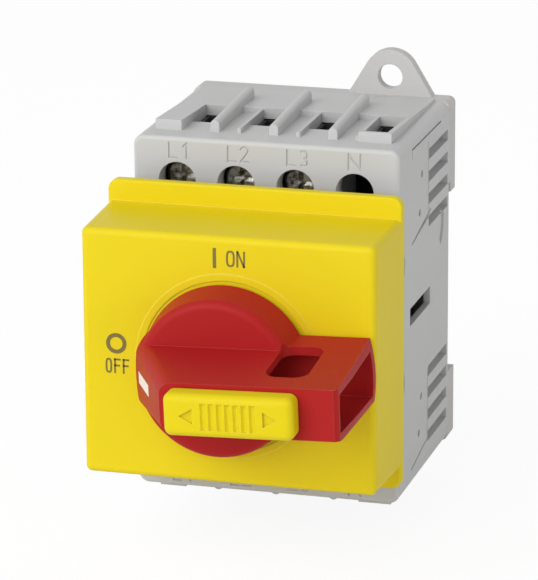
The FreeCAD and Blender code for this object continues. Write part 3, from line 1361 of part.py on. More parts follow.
def carrier():
    """Sliding contact carrier with its follower arms and bridge stirrups."""
    plate = block("carrier_plate", even(inner_half - 0.8), (carrier_front, carrier_rear),
                  even(size["carrier_half"]))
    pieces = [rounded("carrier_plate_soft", plate, 0.8, lambda edge: runs_along(edge, "y"))]
    reach = size["drum_radius"] + size["drum_play"]
    for number, sign in enumerate((-1, 1)):
        x_span = span(reach * sign, (reach + size["arm_thick"]) * sign)
        pieces.append(block("carrier_arm_%d" % number, x_span, (pin_depth - 1.3, carrier_front + 1),
                            even(size["arm_half"])))
        start = reach - size["cam_pin_length"] if sign > 0 else -reach - 0.5
        pieces.append(rod("carrier_pin_%d" % number, "x", size["cam_pin"], (start, pin_depth, 0),
                          size["cam_pin_length"] + 0.5))
    stirrup_rear = bridge_rear + size["stirrup_thick"] + 0.1
    half = size["stirrup_half"]
    for label, step in poles:
        middle = pole_centre(step)
        near_side = size["bridge_half_width"] + 0.2
        far_side = near_side + size["finger_thick"]
        for number, sign in enumerate((-1, 1)):
            x_span = span(middle + near_side * sign, middle + far_side * sign)
            pieces.append(block("finger_%s_%d" % (label, number), x_span, (carrier_rear - 1, stirrup_rear),
                                even(half)))
        pieces.append(block("stirrup_" + label, even(far_side, middle), (bridge_rear + 0.1, stirrup_rear),
                            even(half)))
    holes = guide_rods("carrier_guide", size["guide_radius"] + size["slip"], carrier_front - 1,
                       size["carrier_thick"] + 2)
    sub_part(cut("contact_carrier_solid", join("carrier_blank", pieces), holes), "contact_carrier")


def guide_pins():
    rear = guide_foot
    front = mechanism_rear - 3.9
    sub_part(join("guide_pins_solid", guide_rods("guide_pin", size["guide_radius"], front, rear - front)),
             "guide_pins")


def contact_bridges():
    """Moving bridge and its spring for every pole."""
    for label, step in poles:
        middle = pole_centre(step)
        strip = block("bridge_strip_" + label, even(size["bridge_half_width"], middle),
                      (bridge_front, bridge_rear), even(size["bridge_half_length"]))
        buttons = [rod("bridge_button_%s_%d" % (label, number), "y", size["pad_radius"],
                       (middle, bridge_rear - 0.2, size["pad_reach"] * sign), size["pad_thick"] + 0.2)
                   for number, sign in enumerate((-1, 1))]
        sub_part(join("bridge_solid_" + label, [strip] + buttons), "contact_bridge_" + label)
        coil("contact_spring_" + label, "y", (middle.value, carrier_rear.value + 0.02, 0),
             bridge_front.value - carrier_rear.value - 0.04, size["contact_coil"].value, 3)


# ---------------------------------------------------------------- terminals

def fixed_contacts():
    """Bent copper strip from every clamp down to its fixed button."""
    half = contact_half
    thick = size["strip"]
    outer = size["riser_reach"] + thick
    clamp_seat = face + size["clamp_front"] + size["clamp_depth"] - size["clamp_wall"] - 0.1
    for name, side, axis in sides:
        for label, step in poles:
            middle = pole_centre(step)
            tip = axis + size["contact_overlap"] * side
            tag = "%s_%s" % (name, label)
            pieces = [
                block("strip_head_" + tag, even(half, middle), (clamp_seat - thick, clamp_seat),
                      span(size["riser_reach"] * side, tip)),
                block("strip_riser_" + tag, even(half, middle), (clamp_seat - thick, seat_top),
                      span(size["riser_reach"] * side, outer * side)),
                block("strip_foot_" + tag, even(half, middle), (strip_front, seat_top),
                      span(size["contact_inner"] * side, outer * side)),
                rod("strip_button_" + tag, "y", size["pad_radius"],
                    (middle, button_front, size["pad_reach"] * side), size["pad_thick"] + 0.2),
            ]
            sub_part(join("strip_solid_" + tag, pieces), "%s_contact_%s" % (name, label))


def clamps_and_screws():
    """Cage clamp and cross-head screw for every connected terminal."""
    front = face + size["clamp_front"]
    rear = front + size["clamp_depth"]
    for name, side, axis in sides:
        for label, step in poles:
            middle = pole_centre(step)
            tag = "%s_%s" % (name, label)
            raw = block("cage_block_" + tag, even(clamp_half, middle), (front, rear),
                        even(size["clamp_half_height"], axis))
            soft = rounded("cage_soft_" + tag, raw, 0.8, lambda edge: runs_along(edge, "z"))
            passage = block("cage_passage_" + tag,
                            even(clamp_half - size["clamp_wall"], middle),
                            (front + size["clamp_head_wall"], rear - size["clamp_wall"]),
                            even(size["clamp_half_height"] + 1, axis))
            thread = rod("cage_thread_" + tag, "y", size["screw_shank"], (middle, front - 1, axis), 4)
            sub_part(cut("cage_solid_" + tag, soft, [passage, thread]), "%s_clamp_%s" % (name, label))
            head = rod("screw_cap_" + tag, "y", size["screw_head"], (middle, screw_face, axis),
                       size["screw_head_thick"])
            cap = rounded("screw_cap_soft_" + tag, head, 0.5,
                          lambda edge: near(edge_middle(edge).y, screw_face) and edge.Length > 5)
            stem = rod("screw_stem_" + tag, "y", size["screw_shank"],
                       (middle, screw_face + size["screw_head_thick"] - 0.2, axis), size["screw_length"])
            blank = join("screw_blank_" + tag, [cap, stem])
            screw = cross_recess("screw_solid_" + tag, blank, middle, screw_face, axis)
            sub_part(screw, "%s_screw_%s" % (name, label))


def terminal_liners():
    """Black hollow liners that back the contact strips and close the bays behind the wire entries."""
    half_height = size["housing_height"] / 2
    half = bay_half - clearance
    front = face + size["clamp_front"] + size["clamp_depth"] + clearance
    rear = -size["base_plate"] - 2 * clearance
    low = size["riser_reach"] + size["strip"] + size["housing_rise"] + clearance
    high = inner_half_height - clearance
    tongue_top = half_height + size["plate_rise"] - size["entry_skin"] - clearance
    entry_rear = face + size["entry_rear"]
    for name, side, axis in sides:
        liners = []
        for number in range(4):
            middle = pole_centre(number - 1.5)
            tag = "%s_%d" % (name, number)
            left = middle - size["entry_left"] + clearance
            right = middle + entry_right - clearance
            shell = block("liner_shell_" + tag, even(half, middle), (front, rear), end_span(low, high, side))
            tongue = block("liner_tongue_" + tag, (left, right),
                           (entry_rear, entry_rear + size["entry_relief"] - clearance),
                           end_span(high - 1, tongue_top, side))
            cheek = block("liner_cheek_" + tag, (left, left + size["cheek_thick"]),
                          (face + size["entry_front"] + clearance, entry_rear + size["cheek_thick"]),
                          end_span(high, tongue_top, side))
            inside = block("liner_inside_" + tag, even(half - 1, middle), (front + 2, rear + 1),
                           end_span(low + 1, high - 1, side))
            liners.append(cut("liner_" + tag, join("liner_blank_" + tag, [shell, tongue, cheek]), [inside]))
        sub_part(join("%s_liner_solid" % name, liners), name + "_liner")


def housing_screws():
    """Four screws from the rear that clamp the base to the mechanism block."""
    head_rear = -0.2
    seat = -1.8
    tip = mechanism_rear - 4.0
    heads = body_screw_rods("screw_head", size["body_screw_head"], seat, head_rear - seat)
    stems = body_screw_rods("screw_stem", size["body_screw"], tip, seat + 0.2 - tip)
    screws = []
    for number, (head, stem) in enumerate(zip(heads, stems)):
        blank = join("housing_screw_blank_%d" % number, [head, stem])
        sign_x, sign_z = frame_screw_places()[number]
        x = body_screw_x * sign_x
        z = size["body_screw_z"] * sign_z
        slots = [block("housing_slot_%d_level" % number, even(1.4, x), (head_rear - 0.8, 1), even(0.35, z)),
                 block("housing_slot_%d_upright" % number, even(0.35, x), (head_rear - 0.8, 1), even(1.4, z))]
        screws.append(cut("housing_screw_%d" % number, blank, slots))
    sub_part(join("housing_screws_solid", screws), "housing_screws")


# ---------------------------------------------------------------- build and export

def build():
    front_housing()
    clip_edge, pad_low = rear_base()
    rail_clip(clip_edge, pad_low)
    front_cover()
    standoff_frame()
    frame_screws()
    shaft_parts()
    knob()
    pointer_mark()
    lock_slide()
    slide_catch()
    knob_screw()
    mechanism_block()
    detent_springs()
    cam_drum()
    carrier()
    guide_pins()
    contact_bridges()
    fixed_contacts()
    clamps_and_screws()
    terminal_liners()
    housing_screws()


def check_and_export():
    """Stops on any broken object, then writes one STEP file per sub-part."""
    document.recompute()
    broken = [item.Name for item in document.Objects
              if "Invalid" in item.State or "Error" in item.State]
    broken += [item.Label for item in sub_parts if item.Shape.isNull() or not item.Shape.isValid()]
    if broken:
        raise RuntimeError("broken objects: " + ", ".join(broken))
    os.makedirs("parts", exist_ok=True)
    for item in sub_parts:
        item.Shape.exportStep("parts/%s.step" % item.Label)
        box = item.Shape.BoundBox
        print("%-22s solids %d  x %.1f %.1f  y %.1f %.1f  z %.1f %.1f" % (
            item.Label, len(item.Shape.Solids), box.XMin, box.XMax, box.YMin, box.YMax, box.ZMin, box.ZMax))


build()
check_and_export()
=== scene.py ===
import json
import math

import bmesh
import bpy
from mathutils import Matrix, Vector


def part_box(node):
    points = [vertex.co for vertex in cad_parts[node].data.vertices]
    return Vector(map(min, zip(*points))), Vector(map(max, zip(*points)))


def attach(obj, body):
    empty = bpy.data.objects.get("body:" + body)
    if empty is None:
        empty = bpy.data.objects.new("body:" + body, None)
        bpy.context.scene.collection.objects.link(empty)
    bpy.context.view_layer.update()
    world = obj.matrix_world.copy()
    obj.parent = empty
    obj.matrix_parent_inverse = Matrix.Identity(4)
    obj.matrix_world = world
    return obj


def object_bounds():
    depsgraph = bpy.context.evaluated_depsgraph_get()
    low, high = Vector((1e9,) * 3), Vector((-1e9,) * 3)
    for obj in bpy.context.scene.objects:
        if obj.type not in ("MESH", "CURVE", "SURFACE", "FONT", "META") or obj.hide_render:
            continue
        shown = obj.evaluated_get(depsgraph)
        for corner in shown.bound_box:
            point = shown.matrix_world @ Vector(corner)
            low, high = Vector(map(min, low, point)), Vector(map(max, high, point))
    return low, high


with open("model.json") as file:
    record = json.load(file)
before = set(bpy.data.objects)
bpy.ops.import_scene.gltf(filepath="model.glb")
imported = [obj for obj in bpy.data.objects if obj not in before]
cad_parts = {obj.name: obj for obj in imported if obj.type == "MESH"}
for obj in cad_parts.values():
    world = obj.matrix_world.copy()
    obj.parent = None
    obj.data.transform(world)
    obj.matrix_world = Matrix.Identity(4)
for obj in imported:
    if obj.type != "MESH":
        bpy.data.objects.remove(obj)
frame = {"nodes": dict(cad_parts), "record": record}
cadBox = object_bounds()
nodes = frame["nodes"]
print("frame loaded:", len(nodes), "nodes")


# small helpers for node trees

def addNode(tree, kind, label="", **values):
    node = tree.nodes.new(kind)
    node.label = label
    for key, value in values.items():
        setattr(node, key, value)
    return node


def setInputs(node, **values):
    for key, value in values.items():
        node.inputs[key.replace("_", " ")].default_value = value
    return node


def wire(tree, source, target):
    tree.links.new(source, target)


def newGroup(name, inputs, outputs):
    group = bpy.data.node_groups.new(name, "ShaderNodeTree")
    for label, kind, value in inputs:
        socket = group.interface.new_socket(label, in_out="INPUT", socket_type=kind)
        socket.default_value = value
    for label, kind in outputs:
        group.interface.new_socket(label, in_out="OUTPUT", socket_type=kind)
    return group, group.nodes.new("NodeGroupInput"), group.nodes.new("NodeGroupOutput")


def mathNode(tree, operation, first, second=None, clamp=False):
    node = addNode(tree, "ShaderNodeMath", operation=operation, use_clamp=clamp)
    for socket, value in zip(node.inputs, (first, second)):
        if value is None:
            continue
        if isinstance(value, bpy.types.NodeSocket):
            wire(tree, value, socket)
        else:
            socket.default_value = value
    return node.outputs[0]


def noiseAt(tree, coordinates, scale, detail=2.0, roughness=0.5, stretch=None):
    vector = coordinates
    if stretch:
        mapping = setInputs(addNode(tree, "ShaderNodeMapping"), Scale=stretch)
        wire(tree, coordinates, mapping.inputs["Vector"])
        vector = mapping.outputs["Vector"]
    noise = addNode(tree, "ShaderNodeTexNoise")
    setInputs(noise, Detail=detail, Roughness=roughness)
    if isinstance(scale, bpy.types.NodeSocket):
        wire(tree, scale, noise.inputs["Scale"])
    else:
        noise.inputs["Scale"].default_value = scale
    wire(tree, vector, noise.inputs["Vector"])
    return noise.outputs["Fac"]


def aboutMiddle(tree, noise, strength):
    # a noise value of 0 to 1 becomes a shift about zero
    return mathNode(tree, "MULTIPLY", mathNode(tree, "SUBTRACT", noise, 0.5), strength)


# the effects that several materials share

toneLook = {
    "cloudScale": 38.0, "cloudDetail": 3.0, "grainDetail": 2.0, "grainRoughness": 0.6, "roughShift": 1.5,
}


def makeMouldTone():
    # broad clouding and fine speckle of a moulded plastic, as colour, roughness and height
    group, inside, outside = newGroup("mouldTone", [
        ("Colour", "NodeSocketColor", (0.5, 0.5, 0.5, 1)),
        ("Cloud", "NodeSocketFloat", 0.05),
        ("Speckle", "NodeSocketFloat", 0.03),
        ("Grain", "NodeSocketFloat", 4200.0),
        ("Roughness", "NodeSocketFloat", 0.4),
    ], [("Colour", "NodeSocketColor"), ("Roughness", "NodeSocketFloat"), ("Height", "NodeSocketFloat")])
    place = addNode(group, "ShaderNodeTexCoord").outputs["Object"]
    broad = noiseAt(group, place, toneLook["cloudScale"], toneLook["cloudDetail"])
    fine = noiseAt(group, place, inside.outputs["Grain"], toneLook["grainDetail"], toneLook["grainRoughness"])
    broadShift = aboutMiddle(group, broad, inside.outputs["Cloud"])
    fineShift = aboutMiddle(group, fine, inside.outputs["Speckle"])
    factor = mathNode(group, "ADD", mathNode(group, "ADD", broadShift, fineShift), 1.0)
    tint = addNode(group, "ShaderNodeVectorMath", operation="SCALE")
    wire(group, inside.outputs["Colour"], tint.inputs[0])
    wire(group, factor, tint.inputs["Scale"])
    wire(group, tint.outputs[0], outside.inputs["Colour"])
    roughShift = mathNode(group, "MULTIPLY", broadShift, toneLook["roughShift"])
    rough = mathNode(group, "ADD", inside.outputs["Roughness"], roughShift, True)
    wire(group, rough, outside.inputs["Roughness"])
    wire(group, fine, outside.inputs["Height"])
    return group


edgeLook = {"samples": 6, "gain": 3.0}


def makeEdgeLine():
    # a mask along convex edges, which the plastics use for a painted edge highlight, and the normal that
    # rounds them off
    group, inside, outside = newGroup("edgeLine", [
        ("Radius", "NodeSocketFloat", 0.0002),
        ("Gain", "NodeSocketFloat", edgeLook["gain"]),
    ], [("Mask", "NodeSocketFloat"), ("Normal", "NodeSocketVector")])
    bevel = addNode(group, "ShaderNodeBevel", samples=edgeLook["samples"])
    wire(group, inside.outputs["Radius"], bevel.inputs["Radius"])
    flat = addNode(group, "ShaderNodeNewGeometry").outputs["Normal"]
    likeness = addNode(group, "ShaderNodeVectorMath", operation="DOT_PRODUCT")
    wire(group, bevel.outputs[0], likeness.inputs[0])
    wire(group, flat, likeness.inputs[1])
    away = mathNode(group, "SUBTRACT", 1.0, likeness.outputs["Value"], True)
    wire(group, mathNode(group, "MULTIPLY", away, inside.outputs["Gain"], True), outside.inputs["Mask"])
    wire(group, bevel.outputs[0], outside.inputs["Normal"])
    return group


lineLook = {"detail": 3.0, "roughness": 0.6, "stretch": (1.0, 0.06, 1.0), "patchDetail": 3.0}


def makeDrawnLines():
    # fine parallel tool lines on a metal, as roughness and height
    group, inside, outside = newGroup("drawnLines", [
        ("Scale", "NodeSocketFloat", 900.0),
        ("Roughness", "NodeSocketFloat", 0.3),
        ("Spread", "NodeSocketFloat", 0.25),
        ("Patch", "NodeSocketFloat", 260.0),
        ("Contrast", "NodeSocketFloat", 1.0),
    ], [("Roughness", "NodeSocketFloat"), ("Height", "NodeSocketFloat"), ("Stain", "NodeSocketFloat")])
    place = addNode(group, "ShaderNodeTexCoord").outputs["Object"]
    lines = noiseAt(group, place, inside.outputs["Scale"], lineLook["detail"], lineLook["roughness"],
                    lineLook["stretch"])
    patchNoise = noiseAt(group, place, inside.outputs["Patch"], lineLook["patchDetail"])
    patches = aboutMiddle(group, patchNoise, inside.outputs["Contrast"])
    stain = mathNode(group, "ADD", patches, 0.5, True)
    shift = aboutMiddle(group, lines, inside.outputs["Spread"])
    wire(group, mathNode(group, "ADD", inside.outputs["Roughness"], shift, True), outside.inputs["Roughness"])
    wire(group, lines, outside.inputs["Height"])
    wire(group, stain, outside.inputs["Stain"])
    return group


mouldTone = makeMouldTone()
edgeLine = makeEdgeLine()
drawnLines = makeDrawnLines()


# the materials, one for each slot of the record

def startMaterial(name):
    material = bpy.data.materials.new(name)
    material.use_nodes = True
    tree = material.node_tree
    return material, tree, tree.nodes["Principled BSDF"]


def useGroup(tree, group, **values):
    node = addNode(tree, "ShaderNodeGroup", node_tree=group)
    return setInputs(node, **values)


def calmBounce(tree, colour, look):
    # for all rays but camera rays the rear-facing faces are painted dark grey, so less yellow bounce light
    # falls on what lies behind: painted shade
    path = addNode(tree, "ShaderNodeLightPath")
    facing = addNode(tree, "ShaderNodeSeparateXYZ")
    wire(tree, addNode(tree, "ShaderNodeTexCoord").outputs["Normal"], facing.inputs["Vector"])
    rear = mathNode(tree, "GREATER_THAN", facing.outputs["Y"], look["bounceFacing"])
    unseen = mathNode(tree, "SUBTRACT", 1.0, path.outputs["Is Camera Ray"])
    blend = addNode(tree, "ShaderNodeMix", data_type="RGBA")
    wire(tree, mathNode(tree, "MULTIPLY", rear, unseen), blend.inputs["Factor"])
    wire(tree, colour, blend.inputs["A"])
    blend.inputs["B"].default_value = (*look["bounceShadeColour"], 1)
    return blend.outputs["Result"]


def scuffAndHighlightEdges(tree, mask, scuff):
    # at the bar's open end the painted edge highlight is made stronger in noise patches, for edges rubbed
    # pale: partly wear, partly painted highlight
    place = addNode(tree, "ShaderNodeTexCoord").outputs["Object"]
    along = setInputs(addNode(tree, "ShaderNodeMapRange"), From_Min=scuff["start"], From_Max=scuff["end"])
    split = addNode(tree, "ShaderNodeSeparateXYZ")
    wire(tree, place, split.inputs["Vector"])
    wire(tree, split.outputs["X"], along.inputs["Value"])
    noise = noiseAt(tree, place, scuff["scale"], scuff["detail"], scuff["noiseRoughness"])
    patches = mathNode(tree, "GREATER_THAN", noise, scuff["bare"])
    worn = mathNode(tree, "MULTIPLY", along.outputs["Result"], patches)
    boost = mathNode(tree, "MULTIPLY", worn, scuff["gain"])
    return mathNode(tree, "MULTIPLY", mask, mathNode(tree, "ADD", boost, 1.0), True)


def mouldedPlastic(name, look):
    material, tree, shader = startMaterial(name)
    tone = useGroup(tree, mouldTone, Colour=(*look["colour"], 1), Cloud=look["cloud"],
                    Speckle=look["speckle"], Grain=look["grain"], Roughness=look["roughness"])
    edge = useGroup(tree, edgeLine, Radius=look["edgeRadius"], Gain=look["edgeGain"])
    # the edge mask mixes a lighter edge colour into the tone: a painted highlight along convex edges
    blend = addNode(tree, "ShaderNodeMix", data_type="RGBA")
    share = mathNode(tree, "MULTIPLY", edge.outputs["Mask"], look["edgeHighlightShare"])
    # near the bar's open end the painted edge highlight grows in patches, for rubbed pale wear
    if look.get("scuff"):
        share = scuffAndHighlightEdges(tree, share, look["scuff"])
    wire(tree, share, blend.inputs["Factor"])
    wire(tree, tone.outputs["Colour"], blend.inputs["A"])
    blend.inputs["B"].default_value = (*look["edgeHighlightColour"], 1)
    finish = blend.outputs["Result"]
    # the cover's rear takes a dark bounce colour for all but camera rays: painted shade on what lies behind
    if look.get("bounceShadeColour"):
        finish = calmBounce(tree, finish, look)
    wire(tree, finish, shader.inputs["Base Color"])
    wire(tree, tone.outputs["Roughness"], shader.inputs["Roughness"])
    bump = setInputs(addNode(tree, "ShaderNodeBump"), Strength=look["bump"], Distance=look["bumpDepth"])
    wire(tree, tone.outputs["Height"], bump.inputs["Height"])
    wire(tree, edge.outputs["Normal"], bump.inputs["Normal"])
    wire(tree, bump.outputs["Normal"], shader.inputs["Normal"])
    setInputs(shader, Specular_IOR_Level=look["shine"], IOR=look["ior"])
    return material


def wornMetal(name, look):
    material, tree, shader = startMaterial(name)
    lines = useGroup(tree, drawnLines, Scale=look["scale"], Roughness=look["roughness"],
                     Spread=look["spread"], Patch=look["patch"], Contrast=look["contrast"])
    edge = useGroup(tree, edgeLine, Radius=look["edgeRadius"])
    blend = addNode(tree, "ShaderNodeMix", data_type="RGBA")
    wire(tree, mathNode(tree, "MULTIPLY", lines.outputs["Stain"], look["stainShare"]), blend.inputs["Factor"])
    blend.inputs["A"].default_value = (*look["colour"], 1)
    blend.inputs["B"].default_value = (*look["stainColour"], 1)
    wire(tree, blend.outputs["Result"], shader.inputs["Base Color"])
    wire(tree, lines.outputs["Roughness"], shader.inputs["Roughness"])
    bump = setInputs(addNode(tree, "ShaderNodeBump"), Strength=look["bump"], Distance=look["bumpDepth"])
    wire(tree, lines.outputs["Height"], bump.inputs["Height"])
    wire(tree, edge.outputs["Normal"], bump.inputs["Normal"])
    wire(tree, bump.outputs["Normal"], shader.inputs["Normal"])
    setInputs(shader, Metallic=1.0)
    return material


plainLook = {
    "cloud": 0.08, "speckle": 0.05, "grain": 4200.0, "roughness": 0.5, "bump": 0.35,
    # the edge colour and its share paint a highlight along convex edges
    "edgeRadius": 0.00018, "edgeGain": 2.5, "edgeHighlightShare": 0.25, "edgeHighlightColour": (0.9, 0.9, 0.9),
    "shine": 0.4, "ior": 1.48, "bumpDepth": 0.00004,
}

# each edge colour below is a painted highlight along convex edges
plasticLooks = {
    "housing_grey": {"colour": (0.56, 0.56, 0.557), "roughness": 0.5},
    "base_grey": {"colour": (0.56, 0.55, 0.54), "roughness": 0.55},
    # the bounce colour paints the cover's rear dark for all but camera rays: painted shade on the housing
    # behind
    "cover_yellow": {"colour": (0.78, 0.62, 0.010), "roughness": 0.4, "shine": 0.15, "grain": 5200.0,
                     "speckle": 0.03, "bounceShadeColour": (0.16, 0.15, 0.13), "bounceFacing": 0.3,
                     "edgeHighlightColour": (1.0, 0.9, 0.35), "edgeHighlightShare": 0.45, "edgeRadius": 0.0003, "bump": 0.2},
    "frame_dark": {"colour": (0.045, 0.045, 0.05), "edgeHighlightColour": (0.2, 0.2, 0.2)},
    "knob_red": {"colour": (0.41, 0.015, 0.015), "roughness": 0.42, "shine": 0.12, "speckle": 0.05,
                 "edgeHighlightColour": (0.78, 0.20, 0.15), "edgeHighlightShare": 0.4, "bump": 0.25,
                 # rubbed pale patches at the bar's open end, drawn by boosting the painted edge highlight:
                 # wear and painted highlight
                 "scuff": {"start": 0.022, "end": 0.027, "scale": 1400.0, "detail": 4.0,
                           "noiseRoughness": 0.7, "bare": 0.45, "gain": 2.5}},
    "mark_white": {"colour": (0.86, 0.78, 0.74), "roughness": 0.45, "edgeHighlightColour": (1, 1, 1)},
    "slide_yellow": {"colour": (0.74, 0.60, 0.005), "roughness": 0.45, "shine": 0.18,
                     "edgeHighlightColour": (1.0, 0.92, 0.3), "edgeHighlightShare": 0.4, "bump": 0.25},
    "catch_dark": {"colour": (0.05, 0.05, 0.05), "edgeHighlightColour": (0.2, 0.2, 0.2)},
    "mechanism_black": {"colour": (0.022, 0.022, 0.024), "edgeHighlightColour": (0.12, 0.12, 0.12)},
    "drum_natural": {"colour": (0.60, 0.55, 0.46), "edgeHighlightColour": (0.8, 0.78, 0.7)},
    "clip_dark": {"colour": (0.06, 0.06, 0.065), "edgeHighlightColour": (0.25, 0.25, 0.25)},
    "seal_rubber": {"colour": (0.02, 0.02, 0.02), "roughness": 0.7, "edgeHighlightColour": (0.06, 0.06, 0.06)},
}

plainMetal = {
    "scale": 900.0, "spread": 0.2, "stainShare": 0.35, "patch": 260.0, "contrast": 1.0,
    "bump": 0.25, "bumpDepth": 0.00003, "edgeRadius": 0.0001,
}

metalLooks = {
    "copper_alloy": {"colour": (0.78, 0.45, 0.27), "stainColour": (0.42, 0.22, 0.12), "roughness": 0.32},
    "zinc_steel": {"colour": (0.60, 0.60, 0.57), "stainColour": (0.40, 0.40, 0.37), "roughness": 0.38},
    "plated_steel": {"colour": (0.66, 0.65, 0.63), "stainColour": (0.16, 0.14, 0.12), "roughness": 0.3,
                     "scale": 1500.0, "stainShare": 1.0, "patch": 900.0, "contrast": 5.0, "bump": 0.7},
    "spring_steel": {"colour": (0.42, 0.42, 0.43), "stainColour": (0.25, 0.24, 0.23), "roughness": 0.30},
}

materials = {}
for slot, look in plasticLooks.items():
    materials[slot] = mouldedPlastic(slot, {**plainLook, **look})
for slot, look in metalLooks.items():
    materials[slot] = wornMetal(slot, {**plainMetal, **look})
print("materials made:", len(materials))


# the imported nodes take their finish

def dressNodes():
    slotOf = {row["node"]: row["material_slot"] for row in frame["record"]["subparts"]}
    for name, node in nodes.items():
        node.data.materials.clear()
        node.data.materials.append(materials[slotOf[name]])


dressNodes()
print("nodes dressed")


# the marks printed on the cover

printLook = {
    "lift": 0.00003, "stroke": 0.00035, "height": 0.0030, "colour": (0.19, 0.14, 0.025),
    "cloud": 0.3, "speckle": 0.5, "grain": 6000.0, "roughness": 0.5, "coverWall": 0.0022,
    "lineFoot": (-0.00225, 0.0182), "lineLength": 0.0037, "lineStroke": 0.00062,
    "onCorner": (-0.0001, 0.0186), "onStep": 0.0019, "onWidth": 0.0016,
    "ringCentre": (-0.0208, 0.00275), "ringSize": 0.00386, "ringStroke": 0.00075,
    "offCorner": (-0.0229, -0.0029), "offStep": 0.00162, "offWidth": 0.00125, "offHeight": 0.0028,
    "letterSquareness": 3.0, "middleBarRise": 0.53, "middleBarShort": 0.12,
}


def makePrintInk():
    material, tree, shader = startMaterial("printInk")
    tone = useGroup(tree, mouldTone, Colour=(*printLook["colour"], 1), Cloud=printLook["cloud"],
                    Speckle=printLook["speckle"], Grain=printLook["grain"], Roughness=printLook["roughness"])
    wire(tree, tone.outputs["Colour"], shader.inputs["Base Color"])
    wire(tree, tone.outputs["Roughness"], shader.inputs["Roughness"])
    return material


def addStroke(mesh, start, end, width):
    # a flat bar between two points of the cover's face
    first = Vector((start[0], 0, start[1]))
    last = Vector((end[0], 0, end[1]))
    run = (last - first).normalized()
    side = Vector((-run.z, 0, run.x)) * width / 2
    corners = [mesh.verts.new(point) for point in (first - side, last - side, last + side, first + side)]
    mesh.faces.new(corners)


def addLoop(mesh, centre, size, width, squareness=2.0, steps=48):
    # a closed loop of even width, from a circle to a rounded box
    rings = []
    for shrink in (0, width):
        halfX = size[0] / 2 - shrink
        halfZ = size[1] / 2 - shrink
        ring = []
        for step in range(steps):
            turn = 2 * math.pi * step / steps
            x = math.copysign(abs(math.cos(turn)) ** (2 / squareness), math.cos(turn)) * halfX
            z = math.copysign(abs(math.sin(turn)) ** (2 / squareness), math.sin(turn)) * halfZ
            ring.append(mesh.verts.new((centre[0] + x, 0, centre[1] + z)))
        rings.append(ring)
    for step in range(steps):
        after = (step + 1) % steps
        mesh.faces.new((rings[0][step], rings[0][after], rings[1][after], rings[1][step]))


def drawLetter(mesh, letter, corner, width, height, stroke):
    left, low = corner
    right = left + width
    half = stroke / 2
    if letter == "O":
        addLoop(mesh, (left + width / 2, low + height / 2), (width, height), stroke,
                printLook["letterSquareness"])
    elif letter == "N":
        addStroke(mesh, (left + half, low), (left + half, low + height), stroke)
        addStroke(mesh, (right - half, low), (right - half, low + height), stroke)
        addStroke(mesh, (left + half, low + height), (right - half, low), stroke)
    elif letter == "F":
        addStroke(mesh, (left + half, low), (left + half, low + height), stroke)
        addStroke(mesh, (left, low + height - half), (right, low + height - half), stroke)
        middle = low + height * printLook["middleBarRise"]
        addStroke(mesh, (left, middle), (right - width * printLook["middleBarShort"], middle), stroke)


def finishMark(name, mesh, ink):
    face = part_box("standoff_frame")[0].y - printLook["coverWall"]
    thickness = printLook["lift"]
    made = bmesh.ops.extrude_face_region(mesh, geom=list(mesh.faces))
    moved = [part for part in made["geom"] if isinstance(part, bmesh.types.BMVert)]
    bmesh.ops.translate(mesh, verts=moved, vec=(0, -thickness, 0))
    bmesh.ops.translate(mesh, verts=list(mesh.verts), vec=(0, face, 0))
    bmesh.ops.recalc_face_normals(mesh, faces=list(mesh.faces))
    data = bpy.data.meshes.new(name)
    mesh.to_mesh(data)
    mesh.free()
    data.materials.append(ink)
    mark = bpy.data.objects.new(name, data)
    bpy.context.scene.collection.objects.link(mark)
    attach(mark, "housing")


def printWord(name, word, corner, step, width, height, ink):
    mesh = bmesh.new()
    for number, letter in enumerate(word):
        drawLetter(mesh, letter, (corner[0] + number * step, corner[1]), width, height, printLook["stroke"])
    finishMark(name, mesh, ink)


def makeMarks():
    ink = makePrintInk()
    look = printLook
    mesh = bmesh.new()
    foot = look["lineFoot"]
    addStroke(mesh, foot, (foot[0], foot[1] + look["lineLength"]), look["lineStroke"])
    finishMark("markLine", mesh, ink)
    printWord("markOn", "ON", look["onCorner"], look["onStep"], look["onWidth"], look["height"], ink)
    mesh = bmesh.new()
    addLoop(mesh, look["ringCentre"], (look["ringSize"], look["ringSize"]), look["ringStroke"])
    finishMark("markRing", mesh, ink)
    printWord("markOff", "OFF", look["offCorner"], look["offStep"], look["offWidth"], look["offHeight"], ink)


makeMarks()
print("marks printed")


# the floor, the light and the camera

stageLook = {
    "floorDrop": 0.0004, "floorSize": 6.0, "floorColour": (0.93, 0.93, 0.93), "floorRoughness": 0.9,
    "shadowShare": 0.12, "glow": 1.03,
}


def makeFloor():
    low = cadBox[0]
    mesh = bmesh.new()
    bmesh.ops.create_grid(mesh, x_segments=2, y_segments=2, size=stageLook["floorSize"])
    data = bpy.data.meshes.new("floor")
    mesh.to_mesh(data)
    mesh.free()
    floor = bpy.data.objects.new("floor", data)
    floor.location = (0, 0, low[2] - stageLook["floorDrop"])
    bpy.context.scene.collection.objects.link(floor)
    material, tree, shader = startMaterial("paleFloor")
    setInputs(shader, Base_Color=(*stageLook["floorColour"], 1), Roughness=stageLook["floorRoughness"])
    glow = setInputs(addNode(tree, "ShaderNodeEmission"), Color=(1, 1, 1, 1), Strength=stageLook["glow"])
    path = addNode(tree, "ShaderNodeLightPath")
    seen = mathNode(tree, "MULTIPLY", path.outputs["Is Camera Ray"], 1.0 - stageLook["shadowShare"])
    blend = addNode(tree, "ShaderNodeMixShader")
    wire(tree, seen, blend.inputs["Fac"])
    wire(tree, shader.outputs[0], blend.inputs[1])
    wire(tree, glow.outputs[0], blend.inputs[2])
    wire(tree, blend.outputs[0], tree.nodes["Material Output"].inputs["Surface"])
    data.materials.append(material)


worldLook = {"skyStrength": 0.40}


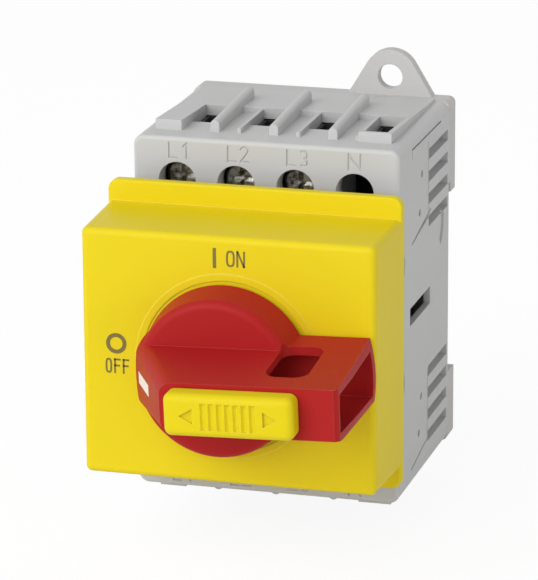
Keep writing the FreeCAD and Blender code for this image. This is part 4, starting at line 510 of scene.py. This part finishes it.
def makeWorld():
    world = bpy.data.worlds.new("paleRoom")
    world.use_nodes = True
    tree = world.node_tree
    background = tree.nodes["Background"]
    background.inputs["Color"].default_value = (1, 1, 1, 1)
    path = addNode(tree, "ShaderNodeLightPath")
    plain = mathNode(tree, "MAXIMUM", path.outputs["Is Camera Ray"], path.outputs["Is Glossy Ray"])
    clear = mathNode(tree, "MAXIMUM", plain, path.outputs["Is Transmission Ray"])
    dim = worldLook["skyStrength"]
    wire(tree, mathNode(tree, "ADD", mathNode(tree, "MULTIPLY", clear, 1.0 - dim), dim),
         background.inputs["Strength"])
    bpy.context.scene.world = world


lamps = {
    "keyLamp": {"place": (-0.55, -1.15, 0.75), "size": 1.6, "power": 17.2},
    "topLamp": {"place": (0.15, 0.1, 1.2), "size": 0.6, "power": 0.5},
    "sideLamp": {"place": (1.2, -0.45, 0.25), "size": 0.6, "power": 2.5},
}


def makeLamps():
    middle = (Vector(cadBox[0]) + Vector(cadBox[1])) / 2
    for name, look in lamps.items():
        data = bpy.data.lights.new(name, "AREA")
        data.shape = "DISK"
        data.size = look["size"]
        data.energy = look["power"]
        lamp = bpy.data.objects.new(name, data)
        lamp.location = look["place"]
        lamp.rotation_euler = (middle - Vector(look["place"])).to_track_quat("-Z", "Y").to_euler()
        bpy.context.scene.collection.objects.link(lamp)


cameraLook = {
    "place": (0.194327, -0.714536, 0.217126),
    "heading": 0.279084,
    "pitch": -0.290186,
    "roll": -0.0064465,
    "lens": 248.35,
}


def makeCamera():
    heading = cameraLook["heading"]
    pitch = cameraLook["pitch"]
    roll = cameraLook["roll"]
    ahead = Vector((-math.sin(heading) * math.cos(pitch), math.cos(heading) * math.cos(pitch),
                    math.sin(pitch)))
    level = ahead.cross(Vector((0, 0, 1))).normalized()
    upright = level.cross(ahead)
    right = math.cos(roll) * level + math.sin(roll) * upright
    above = math.cos(roll) * upright - math.sin(roll) * level
    turn = Matrix((right, above, -ahead)).transposed().to_4x4()
    data = bpy.data.cameras.new("camera")
    data.lens = cameraLook["lens"]
    camera = bpy.data.objects.new("camera", data)
    camera.matrix_world = Matrix.Translation(Vector(cameraLook["place"])) @ turn
    bpy.context.scene.collection.objects.link(camera)
    bpy.context.scene.camera = camera


makeFloor()
makeWorld()
makeLamps()
makeCamera()
bpy.context.scene.view_settings.view_transform = "Standard"
print("stage set")

bpy.context.view_layer.update()
